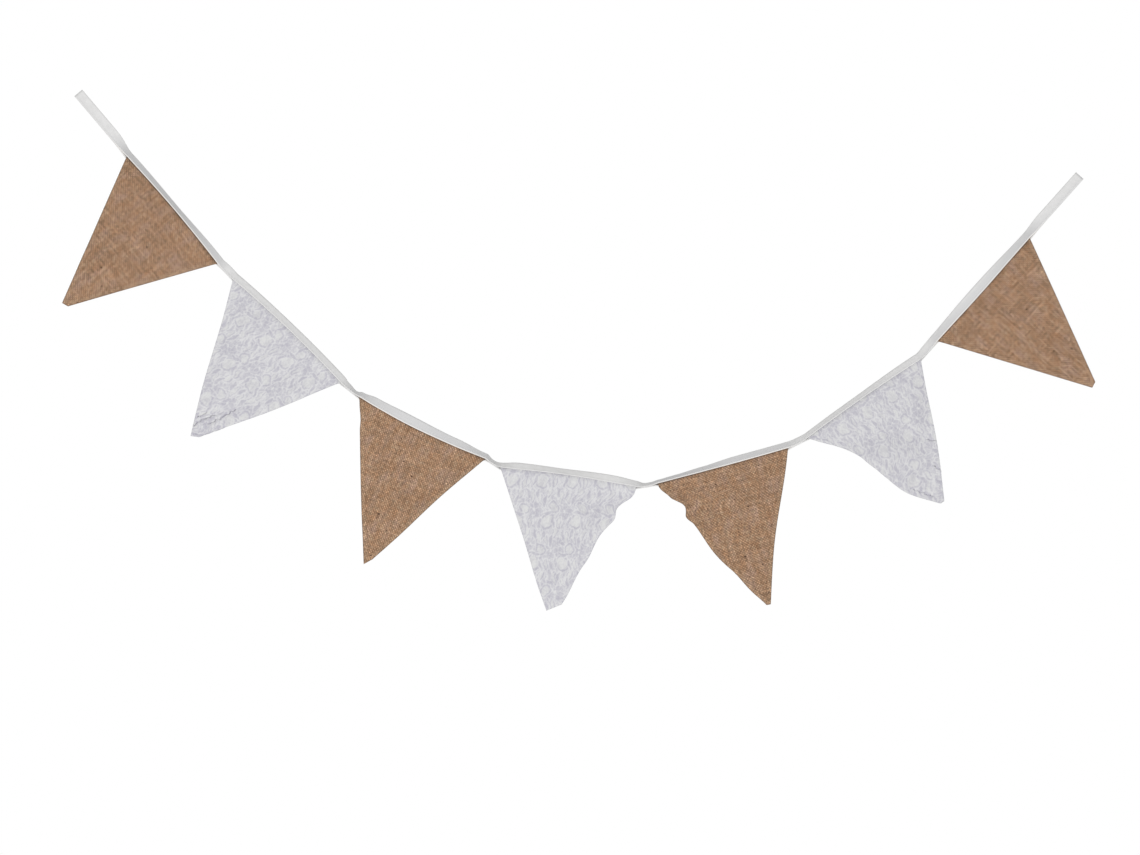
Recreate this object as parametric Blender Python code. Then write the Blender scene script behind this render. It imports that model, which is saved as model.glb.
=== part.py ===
"""Pennant bunting: hessian and lace pennants sewn into a folded tape that hangs in a swag.

Metres. +X runs along the swag to the right, +Z is up, and the bunting's face looks along -Y.
The origin is where the left end of the tape is held: the tape's fold at its cut end.
"""
from collections import namedtuple
import math

import bmesh
import bpy
from mathutils import Vector

BACK = Vector((0.0, 1.0, 0.0))

# Sizes of the cloths and of the tape. The tape's plain ends have their sections at these
# shares of their length, counted from the pennant.
GAP = 0.0003
TAPE_LAYER = 0.001
HESSIAN_THICKNESS = 0.002
LACE_THICKNESS = 0.001
BACKING_THICKNESS = 0.001
SEAM_BEND = 0.006
TAIL_LENGTH = 0.1
TAIL_STATIONS = (0.15, 0.3, 0.4, 0.5, 1.0)

# How finely the sheets are divided, and how firmly the tape keeps its direction past a pennant
COLUMNS = 8
BEND_ROWS = 3
BODY_ROWS = 18
ROW_CROWDING = 0.35
STATIONS_IN_GAP = 6
GAP_PULL = 0.4
FOLD_STEPS = 4

# A place along the tape is the pennant's number, plus up to this share across the pennant.
# The rest of the way to the next number is the plain tape between the two.
PENNANT_SHARE = 0.8

# One row for each pennant. x and z place the left end of its seam, turn is the seam's slope,
# width runs along the seam and depth down to the tip. tip is how far along the tip's left
# corner lies, and rise is how much higher its right corner is. bow is how far the seam sags
# at its middle, lean tips the pennant's point forward, and curl bends its point back.
Pennant = namedtuple("Pennant", "number cloth x z turn width depth tip tip_width rise bow lean curl")
PENNANTS = (
    Pennant(1, "hessian", 0.0555, -0.0840, -49.7, 0.1750, 0.182, 0.0880, 0.008, 0.003, -0.0020, 3.0, 0.006),
    Pennant(2, "lace", 0.1875, -0.2394, -43.2, 0.1853, 0.180, 0.0950, 0.0114, 0.0135, -0.0060, 1.0, -0.003),
    Pennant(3, "hessian", 0.3466, -0.3850, -26.1, 0.1749, 0.180, 0.0968, 0.0071, 0.010, 0.0036, 2.0, -0.004),
    Pennant(4, "lace", 0.5231, -0.4731, -8.1, 0.1715, 0.173, 0.0826, 0.0170, 0.0104, -0.0052, -1.0, -0.005),
    Pennant(5, "hessian", 0.7198, -0.4931, 15.3, 0.1688, 0.181, 0.0910, 0.0060, -0.001, 0.0006, 3.0, 0.005),
    Pennant(6, "lace", 0.9081, -0.4356, 34.9, 0.1715, 0.166, 0.0890, 0.0043, -0.001, -0.0034, 4.0, -0.006),
    Pennant(7, "hessian", 1.0700, -0.3144, 48.2, 0.1725, 0.182, 0.0850, 0.008, 0.002, 0.0, 2.0, 0.004),
)

# The pennants' side edges wander. inward is how far an edge is drawn in at its place down
# the pennant, and fades out over half_length each way.
EdgeWave = namedtuple("EdgeWave", "number side down half_length inward")
EDGE_WAVES = (
    EdgeWave(2, "left", 0.130, 0.100, -0.0052),
    EdgeWave(2, "right", 0.085, 0.085, -0.0027),
    EdgeWave(3, "left", 0.090, 0.090, -0.0042),
    EdgeWave(3, "right", 0.065, 0.075, 0.0024),
    EdgeWave(4, "left", 0.140, 0.060, -0.0015),
    EdgeWave(4, "right", 0.004, 0.014, -0.0015),
    EdgeWave(4, "right", 0.031, 0.017, 0.0062),
    EdgeWave(4, "right", 0.076, 0.030, 0.0063),
    EdgeWave(4, "right", 0.114, 0.040, 0.0036),
    EdgeWave(5, "left", 0.008, 0.012, -0.0024),
    EdgeWave(5, "left", 0.035, 0.015, 0.0066),
    EdgeWave(5, "left", 0.052, 0.009, -0.0030),
    EdgeWave(5, "left", 0.106, 0.052, -0.0061),
    EdgeWave(5, "left", 0.155, 0.028, -0.0032),
    EdgeWave(5, "right", 0.110, 0.100, 0.0048),
    EdgeWave(6, "left", 0.044, 0.046, 0.0092),
    EdgeWave(6, "left", 0.125, 0.043, -0.0079),
    EdgeWave(6, "right", 0.110, 0.085, -0.0050),
)

# The soft folds, each a ridge along a straight crease from one spot on a pennant to another.
# The spots are measured along the seam and down from it. A negative height is a trough.
Fold = namedtuple("Fold", "number along_1 down_1 along_2 down_2 half_width height")
FOLDS = (
    Fold(1, 0.120, 0.015, 0.085, 0.120, 0.034, 0.0035),
    Fold(1, 0.050, 0.030, 0.070, 0.090, 0.028, -0.0025),
    Fold(2, 0.055, 0.020, 0.085, 0.110, 0.036, 0.0030),
    Fold(2, 0.130, 0.030, 0.105, 0.110, 0.030, -0.0022),
    Fold(3, 0.060, 0.020, 0.080, 0.120, 0.034, 0.0032),
    Fold(3, 0.125, 0.030, 0.110, 0.080, 0.030, -0.0025),
    Fold(4, 0.050, 0.020, 0.075, 0.130, 0.034, 0.0028),
    Fold(4, 0.150, 0.018, 0.118, 0.034, 0.018, -0.0034),
    Fold(4, 0.140, 0.060, 0.110, 0.072, 0.020, 0.0030),
    Fold(5, 0.030, 0.012, 0.032, 0.046, 0.014, -0.0036),
    Fold(5, 0.012, 0.012, 0.016, 0.024, 0.014, 0.0026),
    Fold(5, 0.100, 0.020, 0.095, 0.130, 0.036, 0.0034),
    Fold(6, 0.030, 0.035, 0.090, 0.050, 0.030, -0.0040),
    Fold(6, 0.050, 0.115, 0.085, 0.090, 0.030, 0.0042),
    Fold(6, 0.150, 0.010, 0.120, 0.060, 0.020, 0.0025),
    Fold(7, 0.060, 0.020, 0.080, 0.110, 0.034, 0.0034),
    Fold(7, 0.130, 0.030, 0.105, 0.100, 0.028, -0.0026),
)

# How the tape lies at places along it: its width from seam to fold, and how far it rolls
# back from facing forward, in degrees.
TapeRow = namedtuple("TapeRow", "place width roll")
TAPE_ROWS = (
    TapeRow(0.80, 0.0125, 0.0),
    TapeRow(0.92, 0.0125, 0.0),
    TapeRow(1.00, 0.0120, 52.0),
    TapeRow(1.40, 0.0120, 62.0),
    TapeRow(1.80, 0.0115, 40.0),
    TapeRow(1.90, 0.0112, 24.0),
    TapeRow(2.00, 0.0110, 30.0),
    TapeRow(2.40, 0.0110, 36.0),
    TapeRow(2.80, 0.0112, 36.0),
    TapeRow(2.86, 0.0112, 52.0),
    TapeRow(2.94, 0.0115, 69.0),
    TapeRow(3.00, 0.0120, 52.0),
    TapeRow(3.10, 0.0125, 28.0),
    TapeRow(3.30, 0.0128, 10.0),
    TapeRow(3.60, 0.0125, 18.0),
    TapeRow(3.80, 0.0115, 54.0),
    TapeRow(3.90, 0.0115, 74.0),
    TapeRow(4.00, 0.0108, 54.0),
    TapeRow(4.10, 0.0108, 36.0),
    TapeRow(4.36, 0.0108, 44.0),
    TapeRow(4.66, 0.0108, 27.0),
    TapeRow(4.80, 0.0110, 44.0),
    TapeRow(4.90, 0.0110, 70.0),
    TapeRow(5.00, 0.0112, 69.0),
    TapeRow(5.12, 0.0115, 60.0),
    TapeRow(5.28, 0.0115, 48.0),
    TapeRow(5.48, 0.0118, 33.0),
    TapeRow(5.80, 0.0118, 44.0),
    TapeRow(5.90, 0.0112, 46.0),
    TapeRow(6.00, 0.0108, 48.0),
    TapeRow(6.30, 0.0108, 42.0),
    TapeRow(6.80, 0.0112, 28.0),
    TapeRow(6.90, 0.0118, 30.0),
    TapeRow(7.00, 0.0125, 36.0),
    TapeRow(7.36, 0.0128, 8.0),
    TapeRow(7.80, 0.0125, 40.0),
    TapeRow(7.88, 0.0125, 0.0),
    TapeRow(8.00, 0.0125, 0.0),
)

# Colours, roughness and metallic value of the cloths
FINISHES = {
    "hessian": ((0.36, 0.225, 0.135), 0.95, 0.0),
    "lace": ((0.70, 0.69, 0.72), 0.85, 0.0),
    "cotton": ((0.78, 0.78, 0.78), 0.90, 0.0),
    "tape": ((0.72, 0.72, 0.71), 0.80, 0.0),
}


def clear_scene():
    for item in list(bpy.data.objects):
        bpy.data.objects.remove(item, do_unlink=True)


def finish(name):
    """Material of one cloth, made once."""
    if name in bpy.data.materials:
        return bpy.data.materials[name]
    colour, roughness, metallic = FINISHES[name]
    material = bpy.data.materials.new(name)
    material.use_nodes = True
    shader = material.node_tree.nodes["Principled BSDF"]
    shader.inputs["Base Color"].default_value = (*colour, 1.0)
    shader.inputs["Roughness"].default_value = roughness
    shader.inputs["Metallic"].default_value = metallic
    return material


def ease(share):
    """Goes from 0 to 1 with level ends."""
    share = min(max(share, 0.0), 1.0)
    return 0.5 - 0.5 * math.cos(math.pi * share)


def bell(distance):
    """Is 1 at no distance and fades to 0 at a distance of 1."""
    return ease(1.0 - abs(distance))


def along(turn):
    """Direction of a seam that slopes by turn."""
    return Vector((math.cos(turn), 0.0, math.sin(turn)))


def down(turn):
    """Direction square to that seam, into the pennant."""
    return Vector((math.sin(turn), 0.0, -math.cos(turn)))


def tape_at(place):
    """Width and roll of the tape at a place, eased between the rows of its table."""
    for row, following in zip(TAPE_ROWS, TAPE_ROWS[1:]):
        if place <= following.place:
            share = ease((place - row.place) / (following.place - row.place))
            width = row.width + (following.width - row.width) * share
            roll = row.roll + (following.roll - row.roll) * share
            return width, math.radians(roll)
    return TAPE_ROWS[-1].width, math.radians(TAPE_ROWS[-1].roll)


def seam_point(pennant, share):
    """Point on a pennant's seam, share of the way across."""
    turn = math.radians(pennant.turn)
    corner = Vector((pennant.x, 0.0, pennant.z))
    sag = pennant.bow * 4.0 * share * (1.0 - share)
    return corner + along(turn) * (pennant.width * share) + down(turn) * sag


def seam_slope(pennant, share):
    """Direction of the seam there, with its bow."""
    turn = math.radians(pennant.turn)
    sag = pennant.bow * 4.0 * (1.0 - 2.0 * share)
    return (along(turn) + down(turn) * (sag / pennant.width)).normalized()


def bend(cloth_down, roll, lean):
    """How far down and back the cloth has come, cloth_down below its seam.

    In the tape it slopes as the tape rolls. Below the seam it turns to the pennant's lean.
    """
    if cloth_down <= 0.0:
        return cloth_down * math.cos(roll), -cloth_down * math.sin(roll)
    turned = min(cloth_down / SEAM_BEND, 1.0)
    change = lean - roll
    slope = roll + change * turned
    if abs(change) < 0.001:
        fall = SEAM_BEND * turned * math.cos(roll)
        back = -SEAM_BEND * turned * math.sin(roll)
    else:
        fall = SEAM_BEND / change * (math.sin(slope) - math.sin(roll))
        back = SEAM_BEND / change * (math.cos(slope) - math.cos(roll))
    rest = max(cloth_down - SEAM_BEND, 0.0)
    return fall + rest * math.cos(lean), back - rest * math.sin(lean)


def fold_height(number, place_along, place_down):
    """Sum of a pennant's folds at one spot, towards the viewer. They fade out at the seam."""
    spot = Vector((place_along, place_down))
    height = 0.0
    for fold in FOLDS:
        if fold.number != number:
            continue
        start = Vector((fold.along_1, fold.down_1))
        crease = Vector((fold.along_2, fold.down_2)) - start
        share = min(max((spot - start).dot(crease) / crease.length_squared, 0.0), 1.0)
        distance = (spot - start - crease * share).length
        height += fold.height * bell(distance / fold.half_width)
    return height * ease(place_down / 0.025)


def cloth_point(pennant, place_along, place_down):
    """Point of a pennant's middle surface, from its place on the flat cloth."""
    turn = math.radians(pennant.turn)
    share = min(max(place_along / pennant.width, 0.0), 1.0)
    roll = tape_at(pennant.number + PENNANT_SHARE * share)[1]
    fall, back = bend(place_down, roll, math.radians(pennant.lean))
    sunk = max(place_down, 0.0) / pennant.depth
    back += pennant.curl * sunk * sunk
    back -= fold_height(pennant.number, place_along, max(place_down, 0.0))
    return seam_point(pennant, share) + down(turn) * fall + BACK * back


def edge_inset(pennant, side, place_down):
    """How far an edge lies in from its corner at the seam, place_down below the seam."""
    if side == "left":
        inset = pennant.tip * place_down / pennant.depth
    else:
        reach = pennant.width - pennant.tip - pennant.tip_width
        inset = reach * place_down / (pennant.depth - pennant.rise)
    for wave in EDGE_WAVES:
        if wave.number == pennant.number and wave.side == side:
            fade = ease(place_down / 0.004)
            inset += wave.inward * bell((place_down - wave.down) / wave.half_length) * fade
    return inset


def cloth_stack(pennant):
    """Thickness of all the layers of a pennant."""
    if pennant.cloth == "hessian":
        return HESSIAN_THICKNESS
    return LACE_THICKNESS + GAP + BACKING_THICKNESS


def shoulder(place, slot):
    """Height over the seam at which the tape starts to turn over its fold."""
    return tape_at(place)[0] - TAPE_LAYER - slot


def strip_in_tape(pennant, across):
    """Height of the cloth that the tape hides, which ends where the tape turns over."""
    place = pennant.number + PENNANT_SHARE * across
    return shoulder(place, cloth_stack(pennant) / 2.0 + GAP)


def flat_spot(pennant, across, row_down):
    """Place on the flat cloth, across from 0 to 1 and row_down from the seam."""
    if row_down < 0.0:
        return pennant.width * across, -strip_in_tape(pennant, across)
    if row_down == 0.0:
        return pennant.width * across, 0.0
    left_down = row_down
    right_down = row_down * (pennant.depth - pennant.rise) / pennant.depth
    left = edge_inset(pennant, "left", left_down)
    right = pennant.width - edge_inset(pennant, "right", right_down)
    place_along = left + (right - left) * across
    return place_along, left_down + (right_down - left_down) * across


def pennant_rows(pennant):
    """Heights of the rows of a pennant below its seam, closer together near it.

    The first row is the top edge, in the tape.
    """
    rows = [-1.0, 0.0]
    for step in range(1, BEND_ROWS + 1):
        rows.append(SEAM_BEND * step / BEND_ROWS)
    for step in range(1, BODY_ROWS + 1):
        share = step / BODY_ROWS
        crowded = ROW_CROWDING * share + (1.0 - ROW_CROWDING) * share * share
        rows.append(SEAM_BEND + (pennant.depth - SEAM_BEND) * crowded)
    return rows


def lifted(pennant, place_along, place_down, lift):
    """Point that lies lift behind the pennant's middle surface, square to it."""
    step = 0.0005
    here = cloth_point(pennant, place_along, place_down)
    if lift == 0.0:
        return here
    aside = cloth_point(pennant, place_along + step, place_down)
    before = cloth_point(pennant, place_along - step, place_down)
    below = cloth_point(pennant, place_along, place_down + step)
    above = cloth_point(pennant, place_along, place_down - step)
    normal = (aside - before).cross(below - above).normalized()
    return here + normal * lift


def sheet(name, columns, rows, point, thickness, material, mirrored_rows=0):
    """Closed sheet of cloth: a grid laid on point(column, row), given a thickness both ways.

    Its squares are split the same way all over, but for the first mirrored_rows, so that
    sheets that lie on each other split alike and keep their distance where they twist.
    """
    shape = bmesh.new()
    bmesh.ops.create_grid(shape, x_segments=columns, y_segments=rows, size=1.0)
    mirror_line = 1.0 - 2.0 * mirrored_rows / rows
    mirrored = [face for face in shape.faces if face.calc_center_median().y > mirror_line]
    straight = [face for face in shape.faces if face.calc_center_median().y < mirror_line]
    bmesh.ops.triangulate(shape, faces=mirrored, quad_method="ALTERNATE")
    bmesh.ops.triangulate(shape, faces=straight, quad_method="FIXED")
    for vert in shape.verts:
        column = round((vert.co.x + 1.0) / 2.0 * columns)
        row = round((1.0 - vert.co.y) / 2.0 * rows)
        vert.co = point(column, row)
    mesh = bpy.data.meshes.new(name)
    shape.to_mesh(mesh)
    shape.free()
    mesh.materials.append(finish(material))
    mesh.shade_smooth()
    piece = bpy.data.objects.new(name, mesh)
    bpy.context.collection.objects.link(piece)
    thicken = piece.modifiers.new("cloth thickness", "SOLIDIFY")
    thicken.thickness = thickness
    thicken.offset = 0.0
    thicken.use_even_offset = True
    return piece


def pennant_sheet(name, pennant, thickness, lift, material):
    """One layer of a pennant, lift behind the pennant's middle surface."""
    rows = pennant_rows(pennant)

    def point(column, row):
        place_along, place_down = flat_spot(pennant, column / COLUMNS, rows[row])
        return lifted(pennant, place_along, place_down, lift)

    return sheet(name, COLUMNS, len(rows) - 1, point, thickness, material)


def make_pennant(pennant):
    if pennant.cloth == "hessian":
        pennant_sheet(f"hessian_pennant_{pennant.number}", pennant, HESSIAN_THICKNESS, 0.0, "hessian")
        return
    stack = cloth_stack(pennant)
    lace_lift = (LACE_THICKNESS - stack) / 2.0
    backing_lift = (stack - BACKING_THICKNESS) / 2.0
    pennant_sheet(f"lace_pennant_{pennant.number}", pennant, LACE_THICKNESS, lace_lift, "lace")
    pennant_sheet(f"cotton_backing_{pennant.number}", pennant, BACKING_THICKNESS, backing_lift, "cotton")


# One cross-section of the tape: a point of the seam, the slope of the section there, the
# tape's place for its table, and half the space between the two layers.
Station = namedtuple("Station", "seam turn place slot")


def tail_stations(pennant, side):
    """Stations of the tape's plain end beside the first or the last pennant."""
    turn = math.radians(pennant.turn)
    closed = GAP / 2.0
    share = 0.0 if side == "left" else 1.0
    corner = seam_point(pennant, share)
    outward = -along(turn) if side == "left" else along(turn)
    stations = []
    for out in TAIL_STATIONS:
        seam = corner + outward * (TAIL_LENGTH * out)
        reach = (1.0 - PENNANT_SHARE) * out
        place = pennant.number - reach if side == "left" else pennant.number + PENNANT_SHARE + reach
        stations.append(Station(seam, turn, place, closed))
    return stations[::-1] if side == "left" else stations


def pennant_stations(pennant):
    """Stations of the tape over a pennant, in line with the pennant's own columns."""
    turn = math.radians(pennant.turn)
    slot = cloth_stack(pennant) / 2.0 + GAP
    stations = []
    for column in range(COLUMNS + 1):
        share = column / COLUMNS
        place = pennant.number + PENNANT_SHARE * share
        stations.append(Station(seam_point(pennant, share), turn, place, slot))
    return stations


def gap_stations(before, after):
    """Stations of the plain tape between two pennants, on one smooth curve."""
    start = seam_point(before, 1.0)
    end = seam_point(after, 0.0)
    pull = (end - start).length * GAP_PULL
    leaving = seam_slope(before, 1.0) * pull
    arriving = seam_slope(after, 0.0) * pull
    closed = GAP / 2.0
    stations = []
    for step in range(1, STATIONS_IN_GAP):
        share = step / STATIONS_IN_GAP
        square = share * share
        cube = square * share
        seam = start * (2.0 * cube - 3.0 * square + 1.0) + leaving * (cube - 2.0 * square + share)
        seam += end * (3.0 * square - 2.0 * cube) + arriving * (cube - square)
        turn = math.radians(before.turn + (after.turn - before.turn) * ease(share))
        place = before.number + PENNANT_SHARE + (1.0 - PENNANT_SHARE) * share
        nearer = before if share < 0.5 else after
        opened = max(1.0 - 3.0 * min(share, 1.0 - share), 0.0)
        slot = closed + (cloth_stack(nearer) / 2.0 + GAP - closed) * opened
        stations.append(Station(seam, turn, place, slot))
    return stations


def tape_stations():
    stations = tail_stations(PENNANTS[0], "left")
    for pennant, following in zip(PENNANTS, PENNANTS[1:]):
        stations += pennant_stations(pennant)
        stations += gap_stations(pennant, following)
    stations += pennant_stations(PENNANTS[-1])
    stations += tail_stations(PENNANTS[-1], "right")
    return stations


def tape_profile(station):
    """Middle line of the folded tape at a station: front foot, over the fold, back foot."""
    roll = tape_at(station.place)[1]
    up = down(station.turn) * -math.cos(roll) + BACK * math.sin(roll)
    behind = BACK * math.cos(roll) + down(station.turn) * math.sin(roll)
    radius = station.slot + TAPE_LAYER / 2.0
    turning = shoulder(station.place, station.slot)
    points = [station.seam - behind * radius]
    for step in range(FOLD_STEPS + 1):
        angle = math.pi * step / FOLD_STEPS
        rise = turning + radius * math.sin(angle)
        points.append(station.seam + up * rise - behind * (radius * math.cos(angle)))
    points.append(station.seam + behind * radius)
    return points


def make_tape():
    stations = tape_stations()
    profiles = [tape_profile(station) for station in stations]

    def point(column, row):
        return profiles[column][row]

    front_rows = 1 + FOLD_STEPS // 2
    sheet("tape", len(profiles) - 1, len(profiles[0]) - 1, point, TAPE_LAYER, "tape", front_rows)


clear_scene()
make_tape()
for one_pennant in PENNANTS:
    make_pennant(one_pennant)
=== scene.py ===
# %% [markdown]
# # A pennant bunting of hessian and lace
# Seven triangular pennants hang from one folded white tape. Four are natural jute hessian and
# three are white floral lace over plain cotton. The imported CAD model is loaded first, as a
# fixed frame. Each of its solids is then replaced by a cloth with its weave, folds and sewing.

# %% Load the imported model
import math
from collections import namedtuple

import bmesh
import bpy
import numpy as np
from mathutils import Matrix, Vector


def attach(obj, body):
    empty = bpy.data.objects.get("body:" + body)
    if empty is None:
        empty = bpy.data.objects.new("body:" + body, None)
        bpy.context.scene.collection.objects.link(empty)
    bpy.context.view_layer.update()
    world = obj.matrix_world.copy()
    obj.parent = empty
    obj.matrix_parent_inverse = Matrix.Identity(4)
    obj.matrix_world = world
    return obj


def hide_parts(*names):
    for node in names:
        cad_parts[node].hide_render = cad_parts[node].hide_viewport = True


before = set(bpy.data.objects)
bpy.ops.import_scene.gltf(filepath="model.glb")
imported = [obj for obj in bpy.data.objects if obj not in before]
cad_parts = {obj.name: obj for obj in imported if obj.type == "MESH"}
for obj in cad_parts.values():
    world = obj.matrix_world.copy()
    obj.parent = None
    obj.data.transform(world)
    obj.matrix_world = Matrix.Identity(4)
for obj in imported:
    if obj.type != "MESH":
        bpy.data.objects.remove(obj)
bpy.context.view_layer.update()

print("CAD nodes:", sorted(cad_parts))

# %% [markdown]
# ## The camera
# The photograph looks at the bunting straight on. One of its pixels is 1.25 mm on the cloth,
# so a long lens 3.5 m in front gives its frame with hardly any perspective.

# %% Place the camera
FRAME_CENTRE = Vector((0.61, 0.0, -0.4219))
FRAME_WIDTH = 1.425
CAMERA_DISTANCE = 3.5
SENSOR_WIDTH = 36.0

lens = bpy.data.cameras.new("photo lens")
lens.sensor_width = SENSOR_WIDTH
lens.lens = SENSOR_WIDTH * CAMERA_DISTANCE / FRAME_WIDTH
camera = bpy.data.objects.new("camera", lens)
camera.location = FRAME_CENTRE - Vector((0.0, CAMERA_DISTANCE, 0.0))
camera.rotation_euler = (math.radians(90.0), 0.0, 0.0)
bpy.context.collection.objects.link(camera)
bpy.context.scene.camera = camera
print("lens", round(lens.lens, 1), "mm")

# %% [markdown]
# ## How the pennants hang
# A pennant is cut flat and then hung, so each piece here is made flat first and bent to its
# place after. The tables say where each seam lies, how the side edges wander, where the soft
# folds run and how the tape rolls, in metres and degrees. Most are the solids' own numbers. A
# few seams, tips and edges lie some millimetres nearer to the real ones.

# %% The pennants, from left to right
Pennant = namedtuple("Pennant", "number cloth x z turn width depth "
                                "tip tip_width rise bow lean curl")
PENNANTS = tuple(Pennant(*row) for row in (
    (1, "hessian", 0.0555, -0.0840, -49.7, 0.1750, 0.182,
     0.0880, 0.008, 0.003, -0.0020, 3.0, 0.006),
    (2, "lace", 0.1885, -0.2377, -43.8, 0.1857, 0.1794,
     0.0992, 0.0069, 0.0061, -0.0028, 1.0, -0.003),
    (3, "hessian", 0.3466, -0.3850, -26.1, 0.1749, 0.180,
     0.0968, 0.0071, 0.010, 0.0036, 2.0, -0.004),
    (4, "lace", 0.5231, -0.4731, -8.1, 0.1715, 0.1707,
     0.0826, 0.0170, 0.0104, -0.0025, -1.0, -0.005),
    (5, "hessian", 0.7198, -0.4931, 15.3, 0.1688, 0.181,
     0.0910, 0.0060, -0.001, 0.0006, 3.0, 0.005),
    (6, "lace", 0.9081, -0.4356, 34.9, 0.1715, 0.1608,
     0.0874, 0.0032, -0.0036, -0.0016, 4.0, -0.006),
    (7, "hessian", 1.0700, -0.3144, 48.2, 0.1725, 0.182,
     0.0850, 0.008, 0.002, 0.0, 2.0, 0.004),
))
hessian_pennants = [pennant for pennant in PENNANTS if pennant.cloth == "hessian"]
lace_pennants = [pennant for pennant in PENNANTS if pennant.cloth == "lace"]
print(len(hessian_pennants), "of hessian and", len(lace_pennants), "of lace")

# %% How their side edges wander
EdgeWave = namedtuple("EdgeWave", "number side down half_length inward")
EDGE_WAVES = tuple(EdgeWave(*row) for row in (
    (2, "left", 0.130, 0.100, -0.0034),
    (2, "right", 0.085, 0.085, -0.0024),
    (3, "left", 0.090, 0.090, -0.0006),
    (3, "left", 0.022, 0.014, 0.0012),
    (3, "right", 0.065, 0.075, 0.0024),
    (4, "left", 0.140, 0.060, -0.0015),
    (4, "right", 0.010, 0.012, -0.0022),
    (4, "right", 0.030, 0.017, 0.0068),
    (4, "right", 0.070, 0.036, 0.0066),
    (4, "right", 0.114, 0.040, 0.0036),
    (5, "left", 0.008, 0.012, -0.0024),
    (5, "left", 0.035, 0.015, 0.0072),
    (5, "left", 0.052, 0.009, -0.0020),
    (5, "left", 0.106, 0.052, -0.0061),
    (5, "left", 0.155, 0.028, -0.0032),
    (5, "right", 0.110, 0.100, 0.0048),
    (6, "left", 0.044, 0.046, 0.0092),
    (6, "left", 0.062, 0.018, 0.0012),
    (6, "left", 0.080, 0.016, 0.0016),
    (6, "left", 0.127, 0.046, -0.0085),
    (6, "right", 0.100, 0.090, -0.0040),
))
print(len(EDGE_WAVES), "waves in the side edges")

# %% The soft folds, and the small creases that are too fine for the solids
Fold = namedtuple("Fold", "number along_1 down_1 along_2 down_2 half_width height")
SOFT_FOLDS = tuple(Fold(*row) for row in (
    (1, 0.120, 0.015, 0.085, 0.120, 0.034, 0.0035),
    (1, 0.050, 0.030, 0.070, 0.090, 0.028, -0.0025),
    (2, 0.055, 0.020, 0.085, 0.110, 0.036, 0.0030),
    (2, 0.130, 0.030, 0.105, 0.110, 0.030, -0.0022),
    (3, 0.060, 0.020, 0.080, 0.120, 0.034, 0.0032),
    (3, 0.125, 0.030, 0.110, 0.080, 0.030, -0.0025),
    (4, 0.050, 0.020, 0.075, 0.130, 0.034, 0.0028),
    (4, 0.150, 0.018, 0.118, 0.034, 0.018, -0.0034),
    (4, 0.140, 0.060, 0.110, 0.072, 0.020, 0.0030),
    (5, 0.030, 0.012, 0.032, 0.046, 0.014, -0.0036),
    (5, 0.012, 0.012, 0.016, 0.024, 0.014, 0.0026),
    (5, 0.100, 0.020, 0.095, 0.130, 0.036, 0.0034),
    (6, 0.030, 0.035, 0.090, 0.050, 0.030, -0.0040),
    (6, 0.050, 0.115, 0.085, 0.090, 0.030, 0.0042),
    (6, 0.150, 0.010, 0.120, 0.060, 0.020, 0.0025),
    (7, 0.060, 0.020, 0.080, 0.110, 0.034, 0.0034),
    (7, 0.130, 0.030, 0.105, 0.100, 0.028, -0.0026),
))
FINE_CREASES = tuple(Fold(*row) for row in (
    (5, 0.070, 0.085, 0.115, 0.075, 0.006, 0.0006),
    (5, 0.068, 0.102, 0.112, 0.092, 0.005, -0.0005),
    (5, 0.072, 0.118, 0.108, 0.110, 0.006, 0.0006),
    (5, 0.084, 0.150, 0.100, 0.146, 0.006, -0.0007),
    (5, 0.088, 0.172, 0.096, 0.165, 0.006, 0.0008),
    (3, 0.090, 0.160, 0.108, 0.150, 0.008, -0.0006),
    (4, 0.142, 0.024, 0.124, 0.030, 0.006, -0.0008),
    (6, 0.022, 0.030, 0.060, 0.046, 0.008, -0.0009),
    (2, 0.0919, 0.1680, 0.0927, 0.1576, 0.0016, -0.0012),
    (2, 0.0927, 0.1576, 0.1014, 0.1399, 0.0016, -0.0014),
    (2, 0.1034, 0.1535, 0.1095, 0.1360, 0.0016, -0.0015),
    (2, 0.1095, 0.1360, 0.1150, 0.1170, 0.0017, -0.0012),
    (2, 0.0878, 0.1570, 0.0917, 0.1441, 0.0015, -0.0010),
    (2, 0.1095, 0.1660, 0.1216, 0.1430, 0.0016, -0.0012),
    (2, 0.0986, 0.1750, 0.1070, 0.1690, 0.0022, -0.0008),
    (2, 0.0950, 0.1610, 0.1080, 0.1330, 0.0026, 0.0012),
    (2, 0.1070, 0.1560, 0.1160, 0.1290, 0.0026, 0.0011),
    (6, 0.0040, 0.0010, 0.0172, 0.0160, 0.0014, -0.0009),
    (6, 0.0697, 0.1285, 0.0852, 0.1507, 0.0015, -0.0010),
    (6, 0.1069, 0.1180, 0.1122, 0.1310, 0.0014, -0.0010),
    (6, 0.1000, 0.1300, 0.1020, 0.1440, 0.0014, -0.0006),
    (6, 0.1187, 0.0870, 0.1280, 0.0945, 0.0014, -0.0010),
    (5, 0.028, 0.012, 0.032, 0.040, 0.006, -0.0012),
))
print(len(SOFT_FOLDS), "soft folds and", len(FINE_CREASES), "fine creases")

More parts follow.
